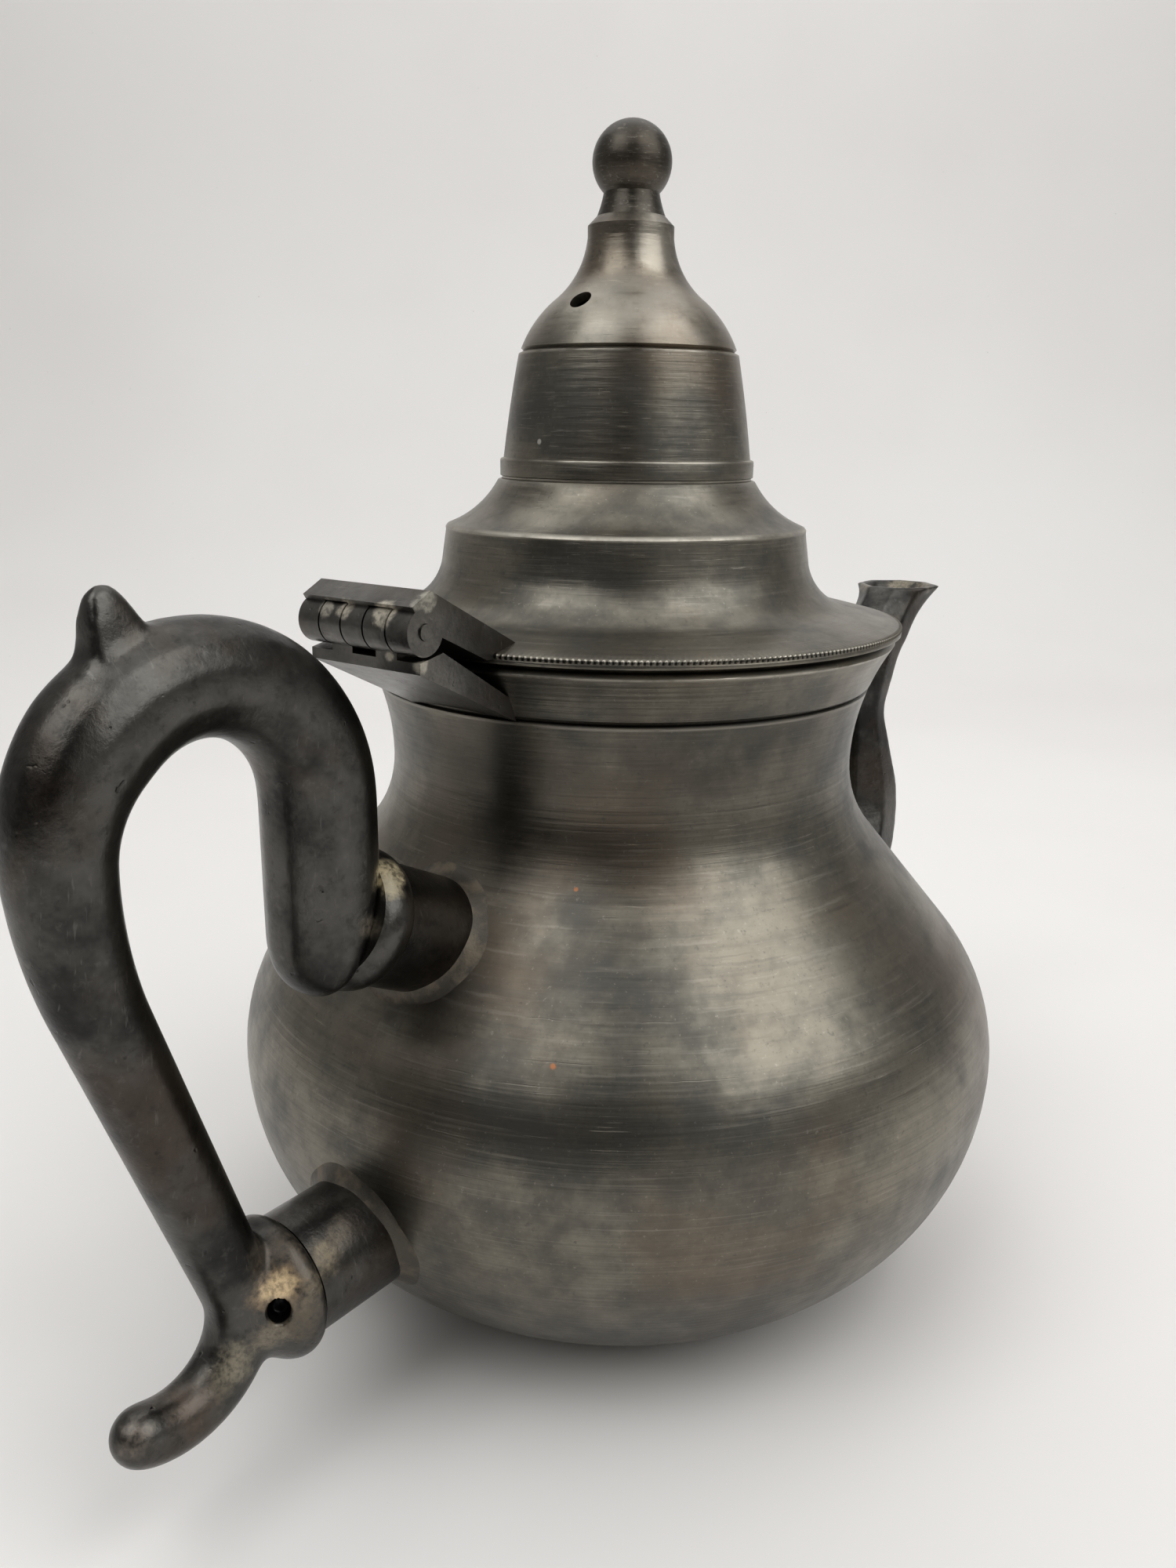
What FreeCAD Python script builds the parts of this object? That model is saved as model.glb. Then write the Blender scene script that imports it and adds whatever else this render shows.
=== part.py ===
"""Hinged-lid pewter pot: turned belly, gooseneck spout, scroll handle and tall bell-shaped lid.

The pot stands on z = 0 with its turning axis on Z. The spout points to +X, the handle and the lid
hinge to -X. Handle and hinge pieces are drawn with +X pointing out of the pot and turned half round.
"""
import FreeCAD, Part
import math
import os
import re
from collections import namedtuple

import Sketcher

SIZES = {
    # Turned body
    "belly_radius": 65.0,
    "belly_height": 39.0,
    "belly_arc": 30.0,
    "shoulder_slope": 40.0,
    "shoulder_arc": 20.0,
    "neck_radius": 38.5,
    "flare_height": 19.8,
    "rim_radius": 44.4,
    "rim_crest": 1.1,
    "rim_bevel": 0.9,
    "foot_radius": 38.0,
    "foot_height": 1.5,
    "foot_ledge": 0.9,
    "wall": 1.5,
    "floor": 1.8,
    "floor_inset": 4.0,
    "lap_height": 2.5,
    "line_drop": 7.2,
    "line_width": 0.8,
    "line_depth": 0.4,
    # Spout
    "spout_drop": 5.0,
    "spout_heading": 28.0,
    "spout_root": 25.0,
    "spout_lead": 49.0,
    "spout_bend": 20.0,
    "spout_bend_turn": 67.0,
    "spout_stem": 15.5,
    "spout_sweep": 25.0,
    "spout_sweep_turn": 47.0,
    "spout_neck": 3.0,
    "spout_lip_drop": 1.1,
    "spout_lip_reach": 7.8,
    "spout_root_radius": 13.6,
    "spout_lead_radius": 12.0,
    "spout_bend_radius": 9.0,
    "spout_stem_radius": 5.9,
    "spout_sweep_radius": 7.0,
    "spout_lip_radius": 9.8,
    "spout_wall": 1.5,
    "strainer_radius": 10.0,
    "strainer_hole": 1.5,
    "strainer_pitch": 4.8,
    # Handle
    "handle_standoff": 2.0,
    "hinge_room": 10.0,
    "heel_height": 35.3,
    "limb_rise": 20.3,
    "arch_radius": 18.15,
    "outer_arc": 60.0,
    "lower_lean": 19.0,
    "lower_length": 46.5,
    "tail_arc": 11.0,
    "tail_turn": 136.0,
    "limb_radius": 7.8,
    "crown_radius": 7.4,
    "grip_radius": 7.6,
    "outer_radius": 6.4,
    "lower_radius": 5.5,
    "tail_radius": 4.9,
    "tip_radius": 4.2,
    "thumb_angle": 69.0,
    "thumb_height": 6.0,
    "thumb_base": 5.6,
    "thumb_tip": 2.4,
    # Sockets, collars and their solder
    "upper_socket_rise": 30.5,
    "upper_socket_tilt": 26.0,
    "lower_socket_drop": 11.5,
    "lower_socket_tilt": -1.0,
    "upper_boss_reach": 2.5,
    "lower_boss_reach": 3.8,
    "socket_radius": 8.85,
    "tenon_radius": 5.0,
    "tenon_length": 5.0,
    "tenon_clearance": 0.05,
    "collar_radius": 10.3,
    "upper_collar_width": 5.8,
    "lower_collar_width": 4.2,
    "boss_radius": 6.8,
    "seat_room": 2.1,
    "solder_width": 2.2,
    "solder_height": 1.2,
    "drain_radius": 1.4,
    # Lid
    "lid_gap": 0.3,
    "flange_overhang": 0.95,
    "flange_thickness": 1.4,
    "skirt_foot_inset": 8.35,
    "skirt_foot_rise": 3.4,
    "skirt_waist_radius": 30.0,
    "skirt_waist_rise": 10.2,
    "skirt_turn": 66.0,
    "step_radius": 29.2,
    "step_rise": 15.6,
    "step_lip": 0.9,
    "cone_turn": 38.0,
    "band_radius": 20.4,
    "band_rise": 23.6,
    "band_height": 3.0,
    "lid_wall": 1.4,
    "bezel_radius": 38.5,
    "bezel_depth": 5.2,
    "bell_radius": 19.85,
    "bell_shoulder_radius": 17.4,
    "bell_shoulder_rise": 15.8,
    "bell_side_turn": 4.0,
    "bell_groove": 0.8,
    "dome_radius": 11.5,
    "dome_rise": 24.0,
    "dome_turn": 30.0,
    "dome_slope": 37.0,
    "throat_radius": 6.7,
    "throat_rise": 32.9,
    "throat_turn": 45.0,
    "bell_height": 36.0,
    "bell_cap": 2.0,
    "vent_radius": 1.75,
    "vent_slant": 40.0,
    "vent_drop": 7.8,
    # Finial and its fastening
    "finial_foot_radius": 5.3,
    "finial_foot_height": 3.4,
    "finial_foot_taper": 0.3,
    "finial_foot_rim": 0.8,
    "finial_cove_turn": 10.0,
    "finial_neck_radius": 4.3,
    "ball_radius": 6.1,
    "stud_radius": 2.0,
    "washer_radius": 4.5,
    "washer_thickness": 0.8,
    "nut_radius": 4.0,
    "nut_height": 3.0,
    # Hinge
    "hinge_reach": 11.65,
    "hinge_rise": 5.8,
    "knuckle_radius": 3.2,
    "knuckle_pitch": 4.2,
    "knuckle_gap": 0.3,
    "pin_radius": 1.1,
    "pin_clearance": 0.05,
    "pin_head": 0.3,
    "roof_height": 5.2,
    "roof_reach": 2.2,
    "roof_eave": 3.4,
    "wedge_length": 18.8,
    "wedge_tip": 0.35,
    "strap_drop": 3.9,
    "strap_edge": 1.5,
    "strap_rise": 0.9,
    "strap_slope": 29.0,
    "strap_thickness": 2.6,
}

# Values that follow from the driving sizes
FORMULAS = {
    "slope_low_x": "{belly_radius} - {belly_arc} * (1 - cos({shoulder_slope}))",
    "slope_high_x": "{neck_radius} + {shoulder_arc} * (1 - cos({shoulder_slope}))",
    "slope_low_z": "{belly_height} + {belly_arc} * sin({shoulder_slope})",
    "slope_high_z": "{slope_low_z} + ({slope_low_x} - {slope_high_x}) / tan({shoulder_slope})",
    "neck_z": "{slope_high_z} + {shoulder_arc} * sin({shoulder_slope})",
    "flare_out": "{rim_radius} - {neck_radius}",
    "flare_arc": "({flare_out} * {flare_out} + {flare_height} * {flare_height}) / (2 * {flare_out})",
    "rim_edge_z": "{neck_z} + {flare_height}",
    "rim_z": "{rim_edge_z} + {rim_crest}",
    "foot_edge": "{foot_radius} + {foot_ledge}",
    "bowl_out": "{belly_radius} - {foot_edge}",
    "bowl_up": "{belly_height} - {foot_height}",
    "bowl_arc": "({bowl_out} * {bowl_out} + {bowl_up} * {bowl_up}) / (2 * {bowl_out})",
    "floor_radius": "{foot_edge} - {floor_inset}",
    "lid_z": "{rim_z} + {lid_gap}",
    "flange_radius": "{rim_radius} + {flange_overhang}",
    "skirt_foot_radius": "{flange_radius} - {skirt_foot_inset}",
    "lid_opening": "{bezel_radius} - {lid_wall}",
    "bell_z": "{lid_z} + {band_rise} + {band_height}",
    "finial_z": "{bell_z} + {bell_height}",
    "ball_z": "{finial_z} + {finial_foot_height}"
              " + sqrt({ball_radius} * {ball_radius} - {finial_neck_radius} * {finial_neck_radius})",
    "bell_ceiling_z": "{finial_z} - {bell_cap}",
    "hinge_x": "{flange_radius} + {hinge_reach}",
    "hinge_z": "{lid_z} + {hinge_rise}",
    "knuckle_width": "{knuckle_pitch} - {knuckle_gap}",
    "hinge_length": "5 * {knuckle_pitch} - {knuckle_gap}",
    "limb_x": "max({belly_radius} + {handle_standoff}; {hinge_x} + {hinge_room})",
    "heel_z": "{belly_height} + {heel_height}",
    "arch_x": "{limb_x} + {arch_radius}",
    "arch_z": "{heel_z} + {limb_rise}",
    "spout_z": "{belly_height} - {spout_drop}",
    "mouth_z": "{rim_edge_z} - {spout_lip_drop}",
}

QUARTER_TURN = FreeCAD.Placement(FreeCAD.Vector(0, 0, 0), FreeCAD.Rotation(FreeCAD.Vector(0, 0, 1), 90))
HALF_TURN = FreeCAD.Placement(FreeCAD.Vector(0, 0, 0), FreeCAD.Rotation(FreeCAD.Vector(0, 0, 1), 180))
OCTAGON = 8
HEXAGON = 6

doc = FreeCAD.newDocument("hinged_lid_pot")
sheet = doc.addObject("Spreadsheet::Sheet", "Sizes")
for row, (alias, number) in enumerate(SIZES.items(), start=1):
    sheet.set(f"A{row}", alias)
    sheet.set(f"B{row}", str(number))
    sheet.setAlias(f"B{row}", alias)
doc.recompute()

NODES = {}


def expr(text):
    """Turn a formula with {names} into an expression on the sheet."""
    def swap(match):
        name = match.group(1)
        if name in FORMULAS:
            return "(" + expr(FORMULAS[name]) + ")"
        return "Sizes." + name
    return re.sub(r"\{(\w+)\}", swap, text)


def val(text):
    """Number that a formula, or one bare name, has now."""
    formula = "{" + text + "}" if text in SIZES or text in FORMULAS else text
    result = sheet.evalExpression(expr(formula))
    return float(getattr(result, "Value", result))


def bind(thing, **formulas):
    """Tie properties of an object to formulas."""
    for prop, text in formulas.items():
        thing.setExpression(prop, expr(text))
    return thing


def node(label, thing, placement=None):
    """Name an object as a finished sub-part."""
    thing.Label = label
    if placement is not None:
        thing.Placement = placement
    NODES[label] = thing
    return thing


def plane_of(body, role):
    """Origin plane of a body, by its role."""
    return next(item for item in body.Origin.OriginFeatures if item.Role == role)


def outline_sketch(body, name, outline):
    """Closed outline in the XZ plane.

    Each entry is (x formula, z formula) for a straight run to that corner, or (x, z, turn) for an
    arc to it that turns by that many degrees, positive to the left.
    """
    sketch = body.newObject("Sketcher::SketchObject", name)
    sketch.AttachmentSupport = [(plane_of(body, "XZ_Plane"), "")]
    sketch.MapMode = "FlatFace"
    spots = [FreeCAD.Vector(val(corner[0]), val(corner[1]), 0) for corner in outline]
    ends = []
    for index, corner in enumerate(outline):
        start, end = spots[index - 1], spots[index]
        if len(corner) == 2:
            edge = sketch.addGeometry(Part.LineSegment(start, end))
            ends.append((edge, 1, 2))
            continue
        turn = math.radians(val(corner[2]))
        chord = end - start
        left = FreeCAD.Vector(-chord.y, chord.x, 0)
        middle = (start + end) * 0.5 - left * (math.tan(turn / 4) / 2)
        edge = sketch.addGeometry(Part.Arc(start, middle, end))
        ends.append((edge, 1, 2) if turn > 0 else (edge, 2, 1))
    for index, (edge, first, _) in enumerate(ends):
        before = ends[index - 1]
        sketch.addConstraint(Sketcher.Constraint("Coincident", before[0], before[2], edge, first))
    for index, corner in enumerate(outline):
        edge, _, last = ends[index]
        for text, kind, axis, number in ((corner[0], "DistanceX", -2, spots[index].x),
                                         (corner[1], "DistanceY", -1, spots[index].y)):
            if text == "0":
                sketch.addConstraint(Sketcher.Constraint("PointOnObject", edge, last, axis))
                continue
            rule = sketch.addConstraint(Sketcher.Constraint(kind, -1, 1, edge, last, number))
            sketch.setExpression(f"Constraints[{rule}]", expr(text))
        if len(corner) == 3:
            before = outline[index - 1]
            across = f"(({corner[0]}) - ({before[0]}))"
            upward = f"(({corner[1]}) - ({before[1]}))"
            radius = f"sqrt({across} * {across} + {upward} * {upward}) / (2 * abs(sin(({corner[2]}) / 2)))"
            rule = sketch.addConstraint(Sketcher.Constraint("Radius", edge, sketch.Geometry[edge].Radius))
            sketch.setExpression(f"Constraints[{rule}]", expr(radius))
    return sketch


def turned(name, outline):
    """Body turned about Z from an outline, with its seam on +Y, clear of spout and handle."""
    body = doc.addObject("PartDesign::Body", name)
    body.Placement = QUARTER_TURN
    sketch = outline_sketch(body, name + "_profile", outline)
    spin = body.newObject("PartDesign::Revolution", name + "_turning")
    spin.Profile = sketch
    spin.ReferenceAxis = (sketch, ["V_Axis"])
    spin.Angle = 360
    return body


def prism(name, outline, width):
    """Body of an XZ outline carried evenly to both sides of that plane."""
    body = doc.addObject("PartDesign::Body", name)
    sketch = outline_sketch(body, name + "_profile", outline)
    pad = body.newObject("PartDesign::Pad", name + "_pad")
    pad.Profile = sketch
    pad.SideType = "Symmetric"
    bind(pad, Length=width)
    return body


def joined(name, pieces):
    """Union of several objects."""
    union = doc.addObject("Part::MultiFuse", name)
    union.Shapes = pieces
    return union


def less(name, base, tool):
    """One object cut by another."""
    cut = doc.addObject("Part::Cut", name)
    cut.Base = base
    cut.Tool = tool
    return cut


def rod(name, radius, length, x="0", y="0", z="0", axis=None, kind="Part::Cylinder"):
    """Cylinder from a point along a direction, with its size and place tied to formulas."""
    bar = doc.addObject(kind, name)
    bar.Placement = FreeCAD.Placement(FreeCAD.Vector(0, 0, 0), axis or FreeCAD.Rotation())
    bind(bar, Radius=radius, Height=length)
    for prop, text in ((".Placement.Base.x", x), (".Placement.Base.y", y), (".Placement.Base.z", z)):
        bar.setExpression(prop, expr(text))
    return bar


ALONG_Y = FreeCAD.Rotation(FreeCAD.Vector(1, 0, 0), -90)
ALONG_X = FreeCAD.Rotation(FreeCAD.Vector(0, 1, 0), 90)


def pot_profile(offset, top):
    """Outside of the pot from the widest line to a height above the neck, moved out by an offset."""
    return [
        (f"{{belly_radius}} + {offset}", "{belly_height}"),
        (f"{{belly_radius}} - {{belly_arc}} + ({{belly_arc}} + {offset}) * cos({{shoulder_slope}})",
         f"{{belly_height}} + ({{belly_arc}} + {offset}) * sin({{shoulder_slope}})", "{shoulder_slope}"),
        (f"{{neck_radius}} + {{shoulder_arc}} - ({{shoulder_arc}} - {offset}) * cos({{shoulder_slope}})",
         f"{{neck_z}} - ({{shoulder_arc}} - {offset}) * sin({{shoulder_slope}})"),
        (f"{{neck_radius}} + {offset}", "{neck_z}", "-{shoulder_slope}"),
        (f"{{neck_radius}} + {{flare_arc}} - sqrt(({{flare_arc}} - {offset}) * ({{flare_arc}} - {offset})"
         f" - ({top}) * ({top}))", f"{{neck_z}} + {top}", f"-asin(({top}) / ({{flare_arc}} - {offset}))"),
    ]


def reversed_profile(profile):
    """Same outline run the other way, with each arc turning the other way."""
    back = []
    for index in range(len(profile) - 1, -1, -1):
        corner = profile[index]
        after = profile[index + 1] if index + 1 < len(profile) else ()
        turn = (f"-({after[2]})",) if len(after) == 3 else ()
        back.append(corner[:2] + turn)
    return back


def bowl_profile(low_x, low_z, high_x):
    """Round of the bowl from its low corner up to the widest line, which it meets upright."""
    turn = f"2 * atan((({high_x}) - ({low_x})) / ({{belly_height}} - {low_z}))"
    return [(low_x, low_z), (high_x, "{belly_height}", turn)]


RIM_TOP = [("{rim_radius} - {rim_bevel}", "{rim_z}")]
INNER = "(-{wall})"
BOWL_OUTSIDE = bowl_profile("{foot_edge}", "{foot_height}", "{belly_radius}")
BOWL_INSIDE = bowl_profile("{floor_radius}", "{floor}", "{belly_radius} - {wall}")
HALF_LAP_X = "{belly_radius} - {wall} / 2"
LAP_TOP = "{belly_height} + {lap_height}"

# Outer form of the whole pot, filled to its axis, and the same form grown by the solder's thickness
FOOT = [("0", "0"), ("{foot_radius}", "0"), ("{foot_radius}", "{foot_height}")]
pot_form = turned("pot_form", FOOT + BOWL_OUTSIDE + pot_profile("0", "{flare_height}")[1:]
                  + RIM_TOP + [("0", "{rim_z}")])
solder_form = turned("solder_form", [("0", "{foot_height}")]
                     + bowl_profile("{foot_edge} + {solder_height}", "{foot_height}",
                                    "{belly_radius} + {solder_height}")
                     + pot_profile("{solder_height}", "{flare_height}")[1:] + [("0", "{rim_edge_z}")])

# Throat of the spout through the pot's wall
throat = rod("throat", "{strainer_radius}", "{belly_radius} * 2", z="{spout_z}", axis=ALONG_X)

# Upper half: shoulder, neck and flared rim, with a rebate that takes the bowl's tongue
inner_shoulder = reversed_profile(pot_profile(INNER, "({flare_height} + {rim_crest})"))
upper_shell = turned("upper_shell", pot_profile("0", "{flare_height}") + RIM_TOP + inner_shoulder[:-1]
                     + [("{belly_radius} - {wall}", LAP_TOP,
                         "asin({lap_height} / ({belly_arc} - {wall})) - {shoulder_slope} * 1 deg"),
                        (HALF_LAP_X, LAP_TOP), (HALF_LAP_X, "{belly_height}")])
LINE_Z = "{rim_edge_z} - {line_drop}"
LINE_UP = "({flare_height} - {line_drop})"
LINE_X = "{neck_radius} + {flare_arc} - sqrt({flare_arc} * {flare_arc} - " + f"{LINE_UP} * {LINE_UP})"
line_sketch = outline_sketch(upper_shell, "neck_line_profile", [
    (f"{LINE_X} - {{line_depth}}", LINE_Z),
    (f"{LINE_X} + {{line_depth}}", f"{LINE_Z} - {{line_width}}"),
    (f"{LINE_X} + {{line_depth}}", f"{LINE_Z} + {{line_width}}"),
])
neck_line = upper_shell.newObject("PartDesign::Groove", "neck_line")
neck_line.Profile = line_sketch
neck_line.ReferenceAxis = (line_sketch, ["V_Axis"])
neck_line.Angle = 360
node("upper_body", less("upper_body_cut", upper_shell, throat))

# Lower half: bowl with a flat foot and a tongue that laps inside the upper half
lower_shell = turned("lower_shell", FOOT + BOWL_OUTSIDE
                     + [(HALF_LAP_X, "{belly_height}"), (HALF_LAP_X, LAP_TOP),
                        ("{belly_radius} - {wall}", LAP_TOP)] + reversed_profile(BOWL_INSIDE)
                     + [("0", "{floor}")])
node("lower_bowl", less("lower_bowl_cut", lower_shell, throat))

# Strainer: a piece of the pot's wall that fills the throat, drilled with rings of holes
wall_shell = turned("wall_shell", BOWL_OUTSIDE + pot_profile("0", "{flare_height}")[1:]
                    + reversed_profile(pot_profile(INNER, "{flare_height}"))
                    + reversed_profile(BOWL_INSIDE)[1:])
strainer_plug = doc.addObject("Part::Common", "strainer_plug")
strainer_plug.Base = wall_shell
strainer_plug.Tool = rod("strainer_core", "{strainer_radius}", "{belly_radius} * 2", z="{spout_z}",
                         axis=ALONG_X)
strainer_holes = [rod("strainer_hole_middle", "{strainer_hole}", "{belly_radius} * 2", z="{spout_z}",
                      axis=ALONG_X)]
RING_HOLES = 6
OUTER_RING = 1.55
for index in range(RING_HOLES):
    for ring, (share, phase) in enumerate(((1.0, 0.0), (OUTER_RING, 0.5))):
        bearing = 360.0 * (index + phase) / RING_HOLES
        strainer_holes.append(rod(
            f"strainer_hole_{ring}_{index}", "{strainer_hole}", "{belly_radius} * 2",
            y=f"{{strainer_pitch}} * {share} * cos({bearing})",
            z=f"{{spout_z}} + {{strainer_pitch}} * {share} * sin({bearing})", axis=ALONG_X))
node("spout_strainer", less("strainer_cut", strainer_plug, joined("strainer_drill", strainer_holes)))


Run = namedtuple("Run", "size turn steps")


def route(x, z, heading, runs):
    """Stations (x, z, heading) along a route of runs in the XZ plane.

    A run with no turn is straight and its size is a length; with a turn it is an arc of that radius.
    """
    spots = [(x, z, heading)]
    for size, turn, steps in runs:
        for _ in range(steps):
            before = math.radians(heading)
            if turn == 0:
                x += size / steps * math.cos(before)
                z += size / steps * math.sin(before)
            else:
                heading += turn / steps
                after = math.radians(heading)
                side = math.copysign(size, turn)
                x += side * (math.sin(after) - math.sin(before))
                z += side * (math.cos(before) - math.cos(after))
            spots.append((x, z, heading))
    return spots


def faceted(name, spots, radii):
    """Solid lofted through octagons that stand square to a route."""
    sections = []
    for index, ((x, z, heading), radius) in enumerate(zip(spots, radii)):
        section = doc.addObject("Part::RegularPolygon", f"{name}_section_{index}")
        section.Polygon = OCTAGON
        tilt = FreeCAD.Rotation(FreeCAD.Vector(0, 1, 0), 90 - heading)
        flat_side = FreeCAD.Rotation(FreeCAD.Vector(0, 0, 1), 180 / OCTAGON)
        section.Placement = FreeCAD.Placement(FreeCAD.Vector(x, 0, z), tilt.multiply(flat_side))
        bind(section, Circumradius=radius)
        sections.append(section)
    loft = doc.addObject("Part::Loft", name)
    loft.Sections = sections
    loft.Solid = True
    loft.MaxDegree = 2
    return loft


def tapered(runs, names):
    """Section radius at every station, changing evenly along each run."""
    radii = ["{" + names[0] + "}"]
    for run, first, last in zip(runs, names, names[1:]):
        for step in range(1, run.steps + 1):
            share = step / run.steps
            radii.append(f"{{{first}}} * {1 - share:.4f} + {{{last}}} * {share:.4f}")
    return radii


# Gooseneck spout: out of the belly, round a bend, up a thin stem and out again to a flat lip
spout_runs = [
    Run(val("spout_lead"), turn=0, steps=4),
    Run(val("spout_bend"), turn=val("spout_bend_turn"), steps=4),
    Run(val("spout_stem"), turn=0, steps=3),
    Run(val("spout_sweep"), turn=-val("spout_sweep_turn"), steps=3),
    Run(val("spout_neck"), turn=0, steps=1),
]
root_x = val("{belly_radius} - {spout_root}")
root_z = val("{spout_z} - {spout_root} * tan({spout_heading})")
spout_spots = route(root_x, root_z, val("spout_heading"), spout_runs)
mouth_x = spout_spots[-1][0] + val("spout_lip_reach")
spout_radii = tapered(spout_runs, ["spout_root_radius", "spout_lead_radius", "spout_bend_radius",
                                   "spout_stem_radius", "spout_sweep_radius", "spout_sweep_radius"])
LIP_CLEAR = 1.0
spout_outside = faceted("spout_outside", spout_spots + [(mouth_x, val("mouth_z"), 90)],
                        spout_radii + ["{spout_lip_radius}"])
bore_start = (root_x - LIP_CLEAR, root_z - LIP_CLEAR * math.tan(math.radians(val("spout_heading"))),
              val("spout_heading"))
bore_end = (mouth_x + LIP_CLEAR, val("mouth_z") + LIP_CLEAR, 90)
bore_radii = [f"{text} - {{spout_wall}}" for text in spout_radii[:1] + spout_radii + ["{spout_lip_radius}"]]
spout_bore = faceted("spout_bore", [bore_start] + spout_spots + [bore_end], bore_radii)
node("spout", less("spout_cut", less("spout_tube", spout_outside, spout_bore), pot_form))

# Scroll handle: inner limb with a rounded heel, arch, long lower limb and curled tail
handle_runs = [
    Run(val("limb_rise"), turn=0, steps=2),
    Run(val("arch_radius"), turn=-90, steps=4),
    Run(val("arch_radius"), turn=-45, steps=2),
    Run(val("arch_radius"), turn=-45, steps=2),
    Run(val("outer_arc"), turn=-val("lower_lean"), steps=2),
    Run(val("lower_length"), turn=0, steps=3),
    Run(val("tail_arc"), turn=val("tail_turn"), steps=6),
]
handle_spots = route(val("limb_x"), val("heel_z"), 90, handle_runs)
handle_radii = tapered(handle_runs, [
    "limb_radius", "limb_radius", "crown_radius", "grip_radius",
    "outer_radius", "lower_radius", "tail_radius", "tip_radius"])


DOME_BEARINGS = (27, 53, 75)


def rounded_end(spot, radius, direction):
    """Stations that close a limb with a dome, at bearings up from its foot."""
    x, z, heading = spot
    angle = math.radians(heading)
    spots, radii = [], []
    for bearing in DOME_BEARINGS:
        reach = direction * math.sin(math.radians(bearing)) * val(radius)
        spots.append((x + reach * math.cos(angle), z + reach * math.sin(angle), heading))
        radii.append(f"{{{radius}}} * cos({bearing})")
    return spots, radii


heel_spots, heel_radii = rounded_end(handle_spots[0], "limb_radius", -1)
tip_spots, tip_radii = rounded_end(handle_spots[-1], "tip_radius", 1)
handle_loft = faceted("handle_loft", heel_spots[::-1] + handle_spots + tip_spots,
                      heel_radii[::-1] + handle_radii + tip_radii)

THUMB_OUT = "{arch_radius} + {limb_radius} + {thumb_height} - {thumb_tip}"
thumb = doc.addObject("Part::Cone", "thumb")
thumb.Placement = FreeCAD.Placement(
    FreeCAD.Vector(val("arch_x"), 0, val("arch_z")),
    FreeCAD.Rotation(FreeCAD.Vector(0, 1, 0), 90 - val("thumb_angle")))
thumb.Placement = thumb.Placement.multiply(
    FreeCAD.Placement(FreeCAD.Vector(0, 0, val("arch_radius")), FreeCAD.Rotation()))
bind(thumb, Radius1="{thumb_base}", Radius2="{thumb_tip}", Height=f"{THUMB_OUT} - {{arch_radius}}")
thumb_end = doc.addObject("Part::Sphere", "thumb_end")
bind(thumb_end, Radius="{thumb_tip}")
thumb_end.setExpression(".Placement.Base.x", expr("{arch_x} + (" + THUMB_OUT + ") * cos({thumb_angle})"))
thumb_end.setExpression(".Placement.Base.z", expr("{arch_z} + (" + THUMB_OUT + ") * sin({thumb_angle})"))


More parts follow.
